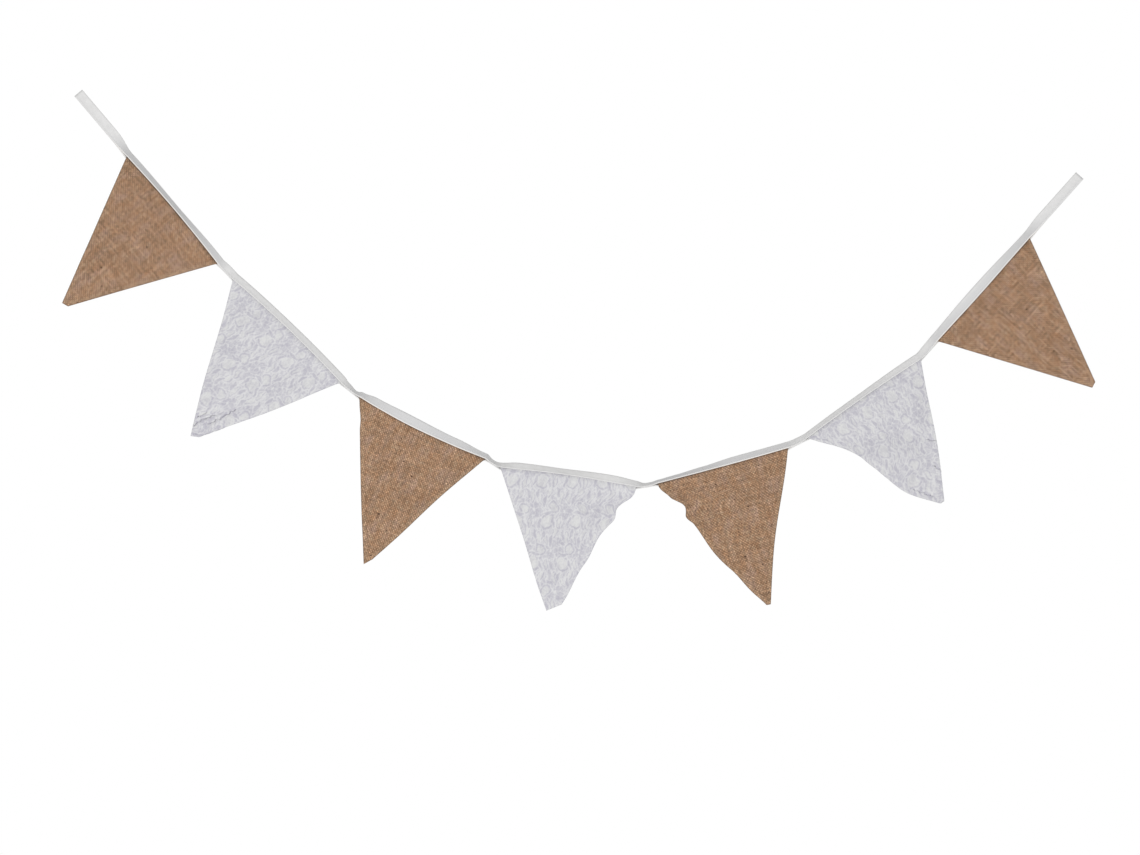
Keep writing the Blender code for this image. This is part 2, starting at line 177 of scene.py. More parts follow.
# %% How the tape lies at places along it
# A place is the pennant's number plus up to 0.8 across it. The rest is plain tape.
PENNANT_SHARE = 0.8
TAPE_PLACES, TAPE_WIDTHS, TAPE_ROLLS = np.array((
    (0.80, 0.0125, 0.0), (0.92, 0.0125, 0.0), (1.00, 0.0120, 52.0), (1.40, 0.0120, 62.0),
    (1.80, 0.0115, 40.0), (1.90, 0.0112, 24.0), (2.00, 0.0110, 30.0), (2.40, 0.0110, 36.0),
    (2.80, 0.0112, 36.0), (2.86, 0.0112, 52.0), (2.94, 0.0115, 69.0), (3.00, 0.0120, 52.0),
    (3.10, 0.0125, 28.0), (3.30, 0.0128, 10.0), (3.60, 0.0122, 30.0), (3.80, 0.0115, 54.0),
    (3.90, 0.0115, 68.0), (4.00, 0.0108, 54.0), (4.10, 0.0108, 36.0), (4.36, 0.0108, 44.0),
    (4.66, 0.0108, 27.0), (4.80, 0.0110, 44.0), (4.90, 0.0110, 70.0), (5.00, 0.0112, 69.0),
    (5.12, 0.0115, 66.0), (5.28, 0.0115, 57.0), (5.48, 0.0118, 43.0), (5.80, 0.0118, 46.0),
    (5.90, 0.0108, 46.0), (6.00, 0.0100, 48.0), (6.30, 0.0100, 46.0), (6.80, 0.0108, 32.0),
    (6.90, 0.0118, 30.0), (7.00, 0.0125, 36.0), (7.36, 0.0128, 8.0), (7.80, 0.0125, 40.0),
    (7.88, 0.0125, 0.0), (8.00, 0.0125, 0.0),
)).T
print(len(TAPE_PLACES), "places along the tape")

# %% [markdown]
# ## From the flat cloth to the hanging cloth
# These helpers bend a flat piece to its place. Each takes whole columns of numbers at once,
# because a woven pennant has tens of thousands of points. A flat point has x along the seam,
# y up from the seam (so the pennant lies below zero) and z towards the viewer.

# %% Easing curves
BACK = np.array((0.0, 1.0, 0.0))


def ease(share):
    """Goes from 0 to 1 with level ends."""
    return 0.5 - 0.5 * np.cos(np.pi * np.clip(share, 0.0, 1.0))


def bell(distance):
    """Is 1 at no distance and fades to 0 at a distance of 1."""
    return ease(1.0 - np.abs(distance))


def tape_at(place):
    """Width and roll (in radians) of the tape at places along it."""
    row = np.clip(np.searchsorted(TAPE_PLACES, place) - 1, 0, len(TAPE_PLACES) - 2)
    share = ease((place - TAPE_PLACES[row]) / (TAPE_PLACES[row + 1] - TAPE_PLACES[row]))
    width = TAPE_WIDTHS[row] + (TAPE_WIDTHS[row + 1] - TAPE_WIDTHS[row]) * share
    roll = TAPE_ROLLS[row] + (TAPE_ROLLS[row + 1] - TAPE_ROLLS[row]) * share
    return width, np.radians(roll)


# %% The seam of a pennant
def columns(*parts):
    """Puts columns of numbers side by side."""
    return np.stack(np.broadcast_arrays(*parts), axis=-1)


def along(turn):
    """Direction of a seam that slopes by turn."""
    return columns(np.cos(turn), 0.0 * turn, np.sin(turn))


def down(turn):
    """Direction square to that seam, into the pennant."""
    return columns(np.sin(turn), 0.0 * turn, -np.cos(turn))


def seam_point(pennant, share):
    """Points on a pennant's seam, share of the way across."""
    turn = math.radians(pennant.turn)
    corner = np.array((pennant.x, 0.0, pennant.z))
    share = np.asarray(share, float)[..., None]
    sag = pennant.bow * 4.0 * share * (1.0 - share)
    return corner + along(turn) * (pennant.width * share) + down(turn) * sag


# %% The bend at the seam and the folds
SEAM_BEND = 0.006
DEEPEST_CREASE = -0.0015
SHARP_CREASE = 0.003
FOLD_FADE = 0.025
WOBBLES = ((0.0006, 980.0, 0.0), (0.0005, 610.0, 2.0))


def bend(cloth_down, roll, lean):
    """How far down and back the cloth has come: sloped as the tape, then leaning."""
    change = np.where(np.abs(lean - roll) < 0.001, 0.001, lean - roll)
    slope = roll + change * np.clip(cloth_down / SEAM_BEND, 0.0, 1.0)
    fall = SEAM_BEND / change * (np.sin(slope) - np.sin(roll))
    back = SEAM_BEND / change * (np.cos(slope) - np.cos(roll))
    rest = np.maximum(cloth_down - SEAM_BEND, 0.0)
    hidden = np.minimum(cloth_down, 0.0)
    fall = fall + rest * np.cos(lean) + hidden * np.cos(roll)
    back = back - rest * np.sin(lean) - hidden * np.sin(roll)
    return fall, back


def line_distance(fold, place_along, place_down):
    """How far places lie from the slightly wavy line of a fold."""
    line = np.array((fold.along_2 - fold.along_1, fold.down_2 - fold.down_1))
    wobble = sum(size * np.sin(rate * place_down + start) for size, rate, start in WOBBLES)
    away = columns(place_along + wobble - fold.along_1, place_down - fold.down_1)
    share = np.clip(away @ line / (line @ line), 0.0, 1.0)
    return np.linalg.norm(away - share[:, None] * line, axis=1)


def fold_height(number, place_along, place_down):
    """Sum of a pennant's folds and creases, towards the viewer. They fade out at the seam."""
    height = np.zeros_like(place_along)
    for fold in SOFT_FOLDS + FINE_CREASES:
        if fold.number != number:
            continue
        distance = line_distance(fold, place_along, place_down)
        height += fold.height * bell(distance / fold.half_width)
    return height * ease(place_down / FOLD_FADE)


def crease_shade(number, place_along, place_down):
    """1 along the deepest of a pennant's fine valleys, which lie in shade."""
    shade = np.zeros_like(place_along)
    for fold in FINE_CREASES:
        if fold.number == number and fold.height < 0.0 and fold.half_width < SHARP_CREASE:
            near = bell(line_distance(fold, place_along, place_down) / fold.half_width)
            shade = np.maximum(shade, near * fold.height / DEEPEST_CREASE)
    return shade


def cloth_point(pennant, place_along, place_down):
    """Points of a pennant's middle surface, from their places on the flat cloth."""
    turn = math.radians(pennant.turn)
    share = np.clip(place_along / pennant.width, 0.0, 1.0)
    roll = tape_at(pennant.number + PENNANT_SHARE * share)[1]
    fall, back = bend(place_down, roll, math.radians(pennant.lean))
    below = np.maximum(place_down, 0.0)
    back = back + pennant.curl * (below / pennant.depth) ** 2
    back = back - fold_height(pennant.number, place_along, below)
    return seam_point(pennant, share) + down(turn) * fall[:, None] + BACK * back[:, None]


# %% [markdown]
# ## Cutting a pennant
# The flat cloth is a grid of squares, like squared paper, cut along three straight lines with
# bisect_plane. The threads stay square that way, and the woven pattern can follow them. The
# cut piece gets its thickness while it is flat. The wandering of the edges comes when it is
# hung: it pulls the threads aside, as a stretched edge does in real cloth.

# %% Lines of a cut pennant
GAP = 0.0003
TAPE_LAYER = 0.001
HESSIAN_THICKNESS = 0.002
LACE_THICKNESS = 0.001
BACKING_THICKNESS = 0.001
STRIP = 0.009
MERGE_SHARE = 0.15


def cloth_stack(pennant):
    """Thickness of all the layers of a pennant."""
    if pennant.cloth == "hessian":
        return HESSIAN_THICKNESS
    return LACE_THICKNESS + GAP + BACKING_THICKNESS


def cut_lines(pennant):
    """The three cuts, each a point on it and the outward direction, on the flat cloth."""
    left_tip = np.array((pennant.tip, -pennant.depth))
    right_tip = left_tip + (pennant.tip_width, pennant.rise)
    corners = (np.array((0.0, 0.0)), left_tip, right_tip, np.array((pennant.width, 0.0)))
    lines = []
    for start, end in zip(corners, corners[1:]):
        step = (end - start) / np.linalg.norm(end - start)
        lines.append((start, np.array((step[1], -step[0]))))
    return lines


def cut_cloth(pennant, pitch, thickness):
    """A flat pennant with its hidden strip, cut from squares of that pitch."""
    across = round(pennant.width / pitch)
    rows_hidden = round(STRIP / pitch)
    rows = rows_hidden + math.ceil(pennant.depth / pitch)
    cloth = bmesh.new()
    bmesh.ops.create_grid(cloth, x_segments=across, y_segments=rows, size=0.5)
    size = Vector((pennant.width, rows * pitch, 1.0))
    middle = Vector((pennant.width / 2.0, (rows_hidden - rows / 2.0) * pitch, 0.0))
    bmesh.ops.scale(cloth, vec=size, verts=cloth.verts)
    bmesh.ops.translate(cloth, vec=middle, verts=cloth.verts)
    for point, outward in cut_lines(pennant):
        everything = cloth.verts[:] + cloth.edges[:] + cloth.faces[:]
        bmesh.ops.bisect_plane(cloth, geom=everything, plane_co=(*point, 0.0),
                               plane_no=(*outward, 0.0), clear_outer=True)
    bmesh.ops.remove_doubles(cloth, verts=cloth.verts, dist=MERGE_SHARE * pitch)
    bmesh.ops.translate(cloth, vec=(0.0, 0.0, thickness / 2.0), verts=cloth.verts)
    bmesh.ops.solidify(cloth, geom=cloth.faces[:], thickness=thickness)
    bmesh.ops.recalc_face_normals(cloth, faces=cloth.faces)
    return cloth


sample = cut_cloth(PENNANTS[2], 0.004, HESSIAN_THICKNESS)
heights = [vert.co.z for vert in sample.verts]
print("a coarse sample has", len(sample.faces), "faces and is",
      round(max(heights) - min(heights), 4), "m thick")
sample.free()

# %% [markdown]
# ## Hanging a cut pennant
# Every point of the flat piece keeps its place along the seam, its depth below it and its
# height over the cloth. The hidden strip is fitted to the tape's own height.

# %% Hang a flat piece
CORNER = 0.004
NORMAL_STEP = 0.0005
FAR_AWAY = 1.0


def edge_wave(pennant, side, place_down):
    """How far a side edge is drawn in at places down the pennant."""
    inward = np.zeros_like(place_down)
    for wave in EDGE_WAVES:
        if wave.number == pennant.number and wave.side == side:
            inward += wave.inward * bell((place_down - wave.down) / wave.half_length)
    return inward * ease(place_down / CORNER)


def hung_place(pennant, flat):
    """Places along and down the hung cloth of points on the straight-cut flat cloth."""
    place_along, place_down = flat[:, 0], -flat[:, 1]
    tape_width = tape_at(pennant.number + PENNANT_SHARE * place_along / pennant.width)[0]
    strip = tape_width - TAPE_LAYER - cloth_stack(pennant) / 2.0 - GAP
    place_down = np.where(place_down < 0.0, place_down / STRIP * strip, place_down)
    below = np.maximum(place_down, 0.0)
    left = pennant.tip * below / pennant.depth
    reach = pennant.width - pennant.tip - pennant.tip_width
    right = pennant.width - reach * below / (pennant.depth - pennant.rise)
    across = np.clip((place_along - left) / (right - left), 0.0, 1.0)
    drawn_in = edge_wave(pennant, "left", below) * (1.0 - across)
    drawn_in -= edge_wave(pennant, "right", below) * across
    return place_along + drawn_in, place_down


def hang(pennant, flat):
    """Bends flat points to their places in the hanging pennant."""
    place_along, place_down = hung_place(pennant, flat)
    here = cloth_point(pennant, place_along, place_down)
    aside = cloth_point(pennant, place_along + NORMAL_STEP, place_down)
    before = cloth_point(pennant, place_along - NORMAL_STEP, place_down)
    below = cloth_point(pennant, place_along, place_down + NORMAL_STEP)
    above = cloth_point(pennant, place_along, place_down - NORMAL_STEP)
    behind = np.cross(aside - before, below - above)
    behind /= np.linalg.norm(behind, axis=1, keepdims=True)
    return here - behind * flat[:, 2:]


def edge_distance(pennant, flat):
    """How far points of the flat cloth lie in from its nearest cut edge."""
    nearest = np.full(len(flat), FAR_AWAY)
    for point, outward in cut_lines(pennant):
        nearest = np.minimum(nearest, (point - flat[:, :2]) @ outward)
    return np.maximum(nearest, 0.0)


# %% Turn a flat piece into a hanging object
EDGE_THINNING = 0.88
MM_PER_METRE = 1000.0


def read_points(mesh):
    """The mesh's points as rows of three numbers."""
    points = np.empty(len(mesh.vertices) * 3)
    mesh.vertices.foreach_get("co", points)
    return points.reshape(-1, 3)


def move_points(piece, points):
    """Puts a piece's points at their new places."""
    piece.data.vertices.foreach_set("co", points.ravel())
    piece.data.update()


def add_uv(mesh, name, uv):
    """A UV map from one pair of numbers for each point."""
    corners = np.empty(len(mesh.loops), int)
    mesh.loops.foreach_get("vertex_index", corners)
    mesh.uv_layers.new(name=name).data.foreach_set("uv", uv[corners].ravel())


def add_paint(mesh, name, red, green, blue):
    """Three numbers for each point, which the materials read as one colour."""
    paint = mesh.color_attributes.new(name, "FLOAT_COLOR", "POINT")
    paint.data.foreach_set("color", columns(red, green, blue, 1.0).ravel())


def as_piece(name, shape):
    """Turns a bmesh into a smooth object with that name."""
    mesh = bpy.data.meshes.new(name)
    shape.to_mesh(mesh)
    shape.free()
    mesh.shade_smooth()
    piece = bpy.data.objects.new(name, mesh)
    bpy.context.collection.objects.link(piece)
    return piece


def round_edge(height, distance, radius):
    """Lets the cloth's thickness run out in a round edge."""
    share = 1.0 - np.clip(distance / radius, 0.0, 1.0)
    return height * np.sqrt(1.0 - EDGE_THINNING * share * share)


# %% [markdown]
# ## Hessian
# Hessian is jute in a plain weave: each thread goes over one thread and under the next. Its
# threads are uneven, with thick slubs. The squares of the cut cloth are half a thread apart, so
# every crossing gets a top and a hollow beside it. The relief is real shape, and the same
# numbers are stored as paint, which the material uses for the tone of each thread. That tone is
# also darkened just below the tape as a painted shadow. The side edges are turned to the back
# as a hem, which shows there as a step.

# %% Uneven threads
THREAD_PITCH = 0.00186
SQUARES_PER_THREAD = 2
SQUARE = THREAD_PITCH / SQUARES_PER_THREAD
THREADS, KNOTS = 220, 64
SLUB_LENGTH, TONE_LENGTH = 5.0, 9.0
OVER_RISE, SLUB_TONE = 0.45, 0.4


def thread_noise(table, thread, position):
    """Random number that changes smoothly along each thread of a table."""
    knot = np.floor(position)
    share = ease(position - knot)
    thread = thread.astype(int) % THREADS
    knot = knot.astype(int)
    here, following = table[thread, knot % KNOTS], table[thread, (knot + 1) % KNOTS]
    return here * (1.0 - share) + following * share


def woven(random, warp_place, weft_place, side):
    """Height (0 to about 1) and tone (0 to 1) of a plain weave at places in thread pitches."""
    warp, weft = np.round(warp_place), np.round(weft_place)
    tones = random.random((4, THREADS, KNOTS))
    warp_slub = thread_noise(tones[0], warp, weft_place / SLUB_LENGTH) ** 3
    weft_slub = thread_noise(tones[1], weft, warp_place / SLUB_LENGTH) ** 3
    warp_round = 0.5 + 0.5 * np.cos(2.0 * np.pi * warp_place)
    weft_round = 0.5 + 0.5 * np.cos(2.0 * np.pi * weft_place)
    warp_over = np.cos(np.pi * weft_place) * np.where(warp % 2, -1.0, 1.0) * side
    weft_over = -np.cos(np.pi * warp_place) * np.where(weft % 2, -1.0, 1.0) * side
    warp_height = 0.5 * warp_round * (1.0 + warp_slub) + OVER_RISE * warp_over
    weft_height = 0.5 * weft_round * (1.0 + weft_slub) + OVER_RISE * weft_over
    warp_tone = thread_noise(tones[2], warp, weft_place / TONE_LENGTH) + SLUB_TONE * warp_slub
    weft_tone = thread_noise(tones[3], weft, warp_place / TONE_LENGTH) + SLUB_TONE * weft_slub
    on_top = warp_height > weft_height
    return np.maximum(warp_height, weft_height), np.where(on_top, warp_tone, weft_tone)


# %% Make a hessian pennant
CLOTH_HALF = 0.00052
WEAVE_HEIGHT = 0.00046
PAINTED_TAPE_SHADOW = 0.8
TAPE_SHADE = 0.0020
HEM_WIDTH = 0.0055
HEM_STEP = 0.0005
HEM_IN_FRONT = 0.2
SOFT_STEP = 0.0012
HESSIAN_ROUNDING = 0.0013
CM_PER_METRE = 100.0


def make_hessian(pennant):
    """One hessian pennant, woven, hemmed and hung."""
    cloth = cut_cloth(pennant, SQUARE, 2.0 * CLOTH_HALF)
    piece = as_piece(f"hessian_cloth_{pennant.number}", cloth)
    flat = read_points(piece.data)
    random = np.random.default_rng(pennant.number)
    side = np.where(flat[:, 2] > 0.0, 1.0, -1.0)
    thread_along = pennant.width / round(pennant.width / SQUARE) * SQUARES_PER_THREAD
    warp_place, weft_place = flat[:, 0] / thread_along, -flat[:, 1] / THREAD_PITCH
    height, tone = woven(random, warp_place, weft_place, side)
    # Painted shadow: the tone is darkened in a narrow band just below the tape, as shade from
    # its lower edge.
    tone = tone - PAINTED_TAPE_SHADOW * ease((TAPE_SHADE + flat[:, 1]) / SOFT_STEP)
    inside = edge_distance(pennant, flat)
    hem = ease((HEM_WIDTH - inside) / SOFT_STEP) * ease(-flat[:, 1] / CORNER)
    hem_step = HEM_STEP * hem * np.where(side < 0.0, 1.0, HEM_IN_FRONT)
    half = CLOTH_HALF + WEAVE_HEIGHT * height + hem_step
    flat[:, 2] = side * round_edge(half, inside, HESSIAN_ROUNDING)
    move_points(piece, hang(pennant, flat))
    add_uv(piece.data, "threads", columns(warp_place, weft_place))
    add_paint(piece.data, "weave", height, tone, inside * CM_PER_METRE)
    return piece


hessian_pieces = {}
for pennant in hessian_pennants:
    piece = make_hessian(pennant)
    hessian_pieces[pennant.number] = piece
    print(piece.name, "has", len(piece.data.polygons), "faces")

# %% [markdown]
# ## Lace
# The lace is a fine net with flowers, leaves and climbing lines worked in it, and rounder open
# places in rows. One repeat is drawn here as distances: how far a point lies outside an oval, a
# leaf or a climbing line. Each distance becomes soft-edged areas and outlines. They are laid
# over each other like paint, and carry the tone, the relief and how open the net is. The
# pattern is an ordinary floral one, drawn for this part at the scale that the photograph shows.

# %% Size of the repeat, and where it falls on each lace pennant
REPEAT = 0.0374
ROW = 0.0515
LaceLay = namedtuple("LaceLay", "along down turn shifts")
LACE_LAYS = {
    2: LaceLay(0.0448, 0.0300, 0.6, (0.0, -0.0118, -0.0014)),
    4: LaceLay(0.0911, 0.0054, 6.7, (0.0, 0.0085, -0.0078)),
    6: LaceLay(0.0768, 0.0173, -1.8, (0.0, -0.0120, 0.0060)),
}

# The net is pulled uneven in waves. Each has its size, and how fast it changes rightwards and
# downwards.
PULLS_RIGHT = ((0.0011, 0.0, 270.0), (0.0006, 190.0, 610.0))
PULLS_BELOW = ((0.0012, 230.0, 0.0), (0.0006, 560.0, -240.0))


def pull(waves, right, below):
    """How far the net is pulled aside at places on it."""
    return sum(size * np.sin(fast_right * right + fast_below * below)
               for size, fast_right, fast_below in waves)


def lace_place(lay, flat):
    """Turns flat points into places on the lace: its rows level, its net pulled uneven."""
    turn = math.radians(lay.turn)
    right, below = flat[:, 0] - lay.along, -flat[:, 1] - lay.down
    right, below = (right * math.cos(turn) - below * math.sin(turn),
                    right * math.sin(turn) + below * math.cos(turn))
    return right + pull(PULLS_RIGHT, right, below), below + pull(PULLS_BELOW, right, below)


print("one repeat is", REPEAT * MM_PER_METRE, "by", ROW * MM_PER_METRE, "mm")


# %% Distances from the shapes of the drawing
def oval(right, below, width, height, lobes=0, depth=0.0):
    """How far points lie outside an oval, which has a scalloped rim if it has lobes."""
    angle = np.arctan2(below / height, right / width)
    reach = np.hypot(right / width, below / height) * 2.0
    rim = 1.0 + depth * np.abs(np.cos(lobes / 2.0 * angle))
    return (reach - rim) * min(width, height) / 2.0


def leaf(right, below, angle, length, width):
    """How far points lie outside a pointed leaf."""
    turn = math.radians(angle)
    lengthwise = right * math.cos(turn) + below * math.sin(turn)
    aside = np.abs(below * math.cos(turn) - right * math.sin(turn))
    share = np.clip(np.abs(lengthwise) / (length / 2.0), 0.0, 1.0)
    beside = aside - width / 2.0 * (1.0 - share * share) ** 0.7
    return np.where(share < 1.0, beside, np.hypot(np.abs(lengthwise) - length / 2.0, aside))


def climbing(right, below, count, swing, phase):
    """How far points lie from the nearest of count wavy lines, which climb through the rows."""
    rise, across = 2.0 * np.pi * below / ROW, 2.0 * np.pi * right / REPEAT
    place = count * right / REPEAT + swing * np.sin(2.0 * rise + across + phase)
    place = place + 0.7 * swing * np.sin(3.0 * rise - 2.0 * across + 2.0 * phase)
    return np.abs(place - np.round(place)) * REPEAT / count


# %% A drawing laid on like paint
SOFT_EDGE = 0.0013
THREAD_HALF = 0.0009
GROUND_HEIGHT, GROUND_OPEN = 0.15, 0.5
GROUND, DARK, WORKED, OPEN, BRIGHT = 0.72, 0.14, 0.34, 0.78, 1.1


class LaceDrawing:
    """Tone, height and openness of the lace at many points."""

    def __init__(self, lay, flat):
        self.lay = lay
        self.right, self.below = lace_place(lay, flat)
        self.row = np.floor(self.below / ROW + 0.5)
        self.tone = np.full(len(flat), GROUND)
        self.height = np.full(len(flat), GROUND_HEIGHT)
        self.open = np.full(len(flat), GROUND_OPEN)

    def distance(self, along, down, shape, *sizes):
        """Distance of all points from the nearest copy of a shape, over three rows."""
        nearest = np.full(len(self.row), FAR_AWAY)
        for near in (-1, 0, 1):
            row = self.row + near
            offset = self.right - along - np.array(self.lay.shifts)[row.astype(int) % 3]
            right = (offset + REPEAT / 2.0) % REPEAT - REPEAT / 2.0
            nearest = np.minimum(nearest, shape(right, self.below - row * ROW - down, *sizes))
        return nearest

    def paint(self, share, tone, height, openness):
        """Lays one tone and height over a share of what is there."""
        self.tone += (tone - self.tone) * share
        self.height += (height - self.height) * share
        self.open += (openness - self.open) * share

    def fill(self, distance, tone, height, openness=0.0):
        """Paints the inside of a shape."""
        self.paint(ease(0.5 - distance / SOFT_EDGE), tone, height, openness)

    def outline(self, distance, tone, height, half=THREAD_HALF):
        """Paints a thread along a shape's edge."""
        self.paint(bell(distance / half), tone, height, 0.0)


# %% The motifs of one repeat
Leaf = namedtuple("Leaf", "along down angle length width")
WORKED_LEAVES = tuple(Leaf(*row) for row in (
    (0.0002, -0.0108, 6.0, 0.0130, 0.0030), (0.0090, 0.0030, 80.0, 0.0130, 0.0026),
    (0.0285, 0.0010, 98.0, 0.0130, 0.0026), (0.0330, 0.0165, 100.0, 0.0120, 0.0036),
    (0.0215, 0.0160, 76.0, 0.0140, 0.0034), (0.0060, 0.0250, 104.0, 0.0140, 0.0034),
))
OPEN_LEAVES = tuple(Leaf(*row) for row in (
    (0.0105, 0.0150, 108.0, 0.0165, 0.0050), (0.0270, 0.0205, 84.0, 0.0150, 0.0042),
    (0.0160, 0.0020, 96.0, 0.0130, 0.0034), (0.0000, 0.0230, 80.0, 0.0110, 0.0034),
))
Flower = namedtuple("Flower", "along down reach length width petals")
FLOWERS = (
    Flower(0.0200, -0.0140, 0.0064, 0.0100, 0.0056, (60.0, 120.0, 180.0, 240.0, 300.0, 0.0)),
    Flower(0.0180, 0.0290, 0.0050, 0.0084, 0.0044, (70.0, 110.0, 200.0, 250.0, 290.0, 340.0)),
)
print(len(WORKED_LEAVES + OPEN_LEAVES), "leaves and", len(FLOWERS), "flowers in each repeat")


# %% Draw lines, leaves, flowers and open places
LIGHT_THREAD, DARK_THREAD, RAISED = 0.92, 0.28, 0.9
FRAME_HALF = 0.0010


def draw_lines(lace, count, swing, phase):
    """Dark threads that climb through the rows, each with a light one along it."""
    line = lace.distance(0.0, 0.0, climbing, count, swing, phase)
    beside = lace.distance(0.0014, 0.0, climbing, count, swing, phase)
    lace.outline(beside, LIGHT_THREAD, RAISED, 0.0012)
    lace.outline(line, DARK_THREAD, 0.4, 0.0013)


def draw_leaf(lace, place, is_open):
    """A leaf of worked cloth with a vein, or an open one in a dark frame."""
    edge = lace.distance(place.along, place.down, leaf, place.angle, place.length, place.width)
    if is_open:
        lace.outline(edge - 0.0020, LIGHT_THREAD, RAISED, FRAME_HALF)
        lace.fill(edge - 0.0010, DARK, 0.5)
        lace.fill(edge, OPEN, 0.1, 1.0)
        return
    lace.outline(edge - 0.0012, LIGHT_THREAD, RAISED, FRAME_HALF)
    lace.fill(edge, 0.20, 0.6)


def draw_flower(lace, flower):
    """Broad dark petals round a light heart, on a darker ground."""
    size = 3.0 * flower.reach
    around = lace.distance(flower.along, flower.down, oval, size, size, 9, 0.10)
    lace.fill(around, WORKED, 0.4)
    for angle in flower.petals:
        right = flower.along + flower.reach * math.cos(math.radians(angle))
        below = flower.down + flower.reach * math.sin(math.radians(angle))
        edge = lace.distance(right, below, leaf, angle, flower.length, flower.width)
        lace.outline(edge - 0.0006, 0.80, 1.0, 0.0008)
        lace.fill(edge, DARK + 0.10, 0.7)
    heart = lace.distance(flower.along, flower.down, leaf, 90.0, 0.5 * flower.length, 0.0020)
    lace.fill(heart, BRIGHT, 1.0)


def draw_opening(lace, along, down, width, height):
    """The open oval places of the rows, each in a scalloped frame."""
    edge = lace.distance(along, down, oval, width, height, 9, 0.08)
    lace.fill(edge - 0.0030, WORKED, 0.5)
    lace.outline(edge - 0.0025, 0.9, RAISED, FRAME_HALF)
    lace.fill(edge - 0.0013, DARK, 0.5)
    lace.fill(edge, OPEN, 0.1, 1.0)


def draw_lace(lay, flat):
    """The whole pattern over the flat points of a pennant."""
    lace = LaceDrawing(lay, flat)
    draw_lines(lace, 5, 0.30, 0.6)
    for flower in FLOWERS:
        draw_flower(lace, flower)
    for place in OPEN_LEAVES:
        draw_leaf(lace, place, True)
    draw_opening(lace, 0.0080, -0.0170, 0.0090, 0.0104)
    draw_opening(lace, 0.0, 0.0, 0.0122, 0.0154)
    for place in WORKED_LEAVES:
        draw_leaf(lace, place, False)
    return lace


# %% Make a lace pennant and its backing
LACE_SQUARE = 0.00082
BACKING_SQUARE = 0.0030
LACE_MIDDLE = 0.00065
LACE_HALF = 0.00032
LACE_RELIEF = 0.00040
LACE_ROUNDING = 0.0010
RELIEF_FADE = 0.003
CREASE_SHADE = 1.5


def make_lace(pennant):
    """The lace face of a pennant, worked and hung."""
    cloth = cut_cloth(pennant, LACE_SQUARE, 2.0 * LACE_HALF)
    piece = as_piece(f"lace_cloth_{pennant.number}", cloth)
    flat = read_points(piece.data)
    side = np.where(flat[:, 2] > 0.0, 1.0, -1.0)
    lace = draw_lace(LACE_LAYS[pennant.number], flat)
    lace.tone -= CREASE_SHADE * crease_shade(pennant.number, *hung_place(pennant, flat))
    inside = edge_distance(pennant, flat)
    relief = LACE_RELIEF * lace.height * (side > 0.0) * ease(-flat[:, 1] / RELIEF_FADE)
    flat[:, 2] = side * round_edge(LACE_HALF + relief, inside, LACE_ROUNDING) + LACE_MIDDLE
    move_points(piece, hang(pennant, flat))
    add_uv(piece.data, "net", flat[:, :2] * MM_PER_METRE)
    add_paint(piece.data, "drawing", lace.tone, lace.height, lace.open)
    return piece


def make_backing(pennant):
    """The plain cotton behind the lace."""
    cloth = cut_cloth(pennant, BACKING_SQUARE, 2.0 * LACE_HALF)
    piece = as_piece(f"cotton_cloth_{pennant.number}", cloth)
    flat = read_points(piece.data)
    half = round_edge(flat[:, 2], edge_distance(pennant, flat), LACE_ROUNDING)
    flat[:, 2] = half - LACE_MIDDLE
    move_points(piece, hang(pennant, flat))
    add_uv(piece.data, "threads", flat[:, :2] * MM_PER_METRE)
    return piece


lace_pieces = {}
for pennant in lace_pennants:
    lace_pieces[pennant.number] = make_lace(pennant), make_backing(pennant)
    for piece in lace_pieces[pennant.number]:
        print(piece.name, "has", len(piece.data.polygons), "faces")

# %% [markdown]
# ## The tape
# Bias tape is a strip of cotton with both long edges turned in, folded once more along its
# middle over the pennants' top edges. Its section is drawn as rows of points from one hidden
# raw edge, round the front's lower edge, over the top and down the back. The sections then
# stand along the seam, as the ribs of a boat do.

# %% Sections along the seam
TAIL_LENGTH = 0.1
SECTION_STEP = 0.003
GAP_PULL = 0.4
TAIL_OPENING, GAP_OPENING = 0.15, 3.0
Sections = namedtuple("Sections", "seam turn place slot")


def seam_slope(pennant, share):
    """Direction of a seam at one of its ends, with its bow."""
    turn = math.radians(pennant.turn)
    sag = pennant.bow * 4.0 * (1.0 - 2.0 * share)
    slope = along(turn) + down(turn) * (sag / pennant.width)
    return slope / np.linalg.norm(slope)


def over_pennant(pennant):
    """Sections over a pennant."""
    share = np.linspace(0.0, 1.0, round(pennant.width / SECTION_STEP) + 1)
    turn = np.full(len(share), math.radians(pennant.turn))
    slot = np.full(len(share), cloth_stack(pennant) / 2.0 + GAP)
    place = pennant.number + PENNANT_SHARE * share
    return Sections(seam_point(pennant, share), turn, place, slot)


def over_tail(pennant, side):
    """Sections of the plain end beside the first or the last pennant."""
    steps = round(TAIL_LENGTH / SECTION_STEP)
    out = np.linspace(1.0, 1.0 / steps, steps)
    turn = math.radians(pennant.turn)
    outward = -along(turn) if side == "left" else along(turn)
    end = seam_point(pennant, 0.0 if side == "left" else 1.0)
    seam = end + outward * (TAIL_LENGTH * out[:, None])
    reach = (1.0 - PENNANT_SHARE) * out
    place = pennant.number - reach if side == "left" else pennant.number + PENNANT_SHARE + reach
    opened = np.clip(1.0 - out / TAIL_OPENING, 0.0, 1.0)
    slot = GAP / 2.0 + (cloth_stack(pennant) / 2.0 + GAP / 2.0) * opened
    tail = Sections(seam, np.full(steps, turn), place, slot)
    if side == "left":
        return tail
    return Sections(*(column[::-1] for column in tail))


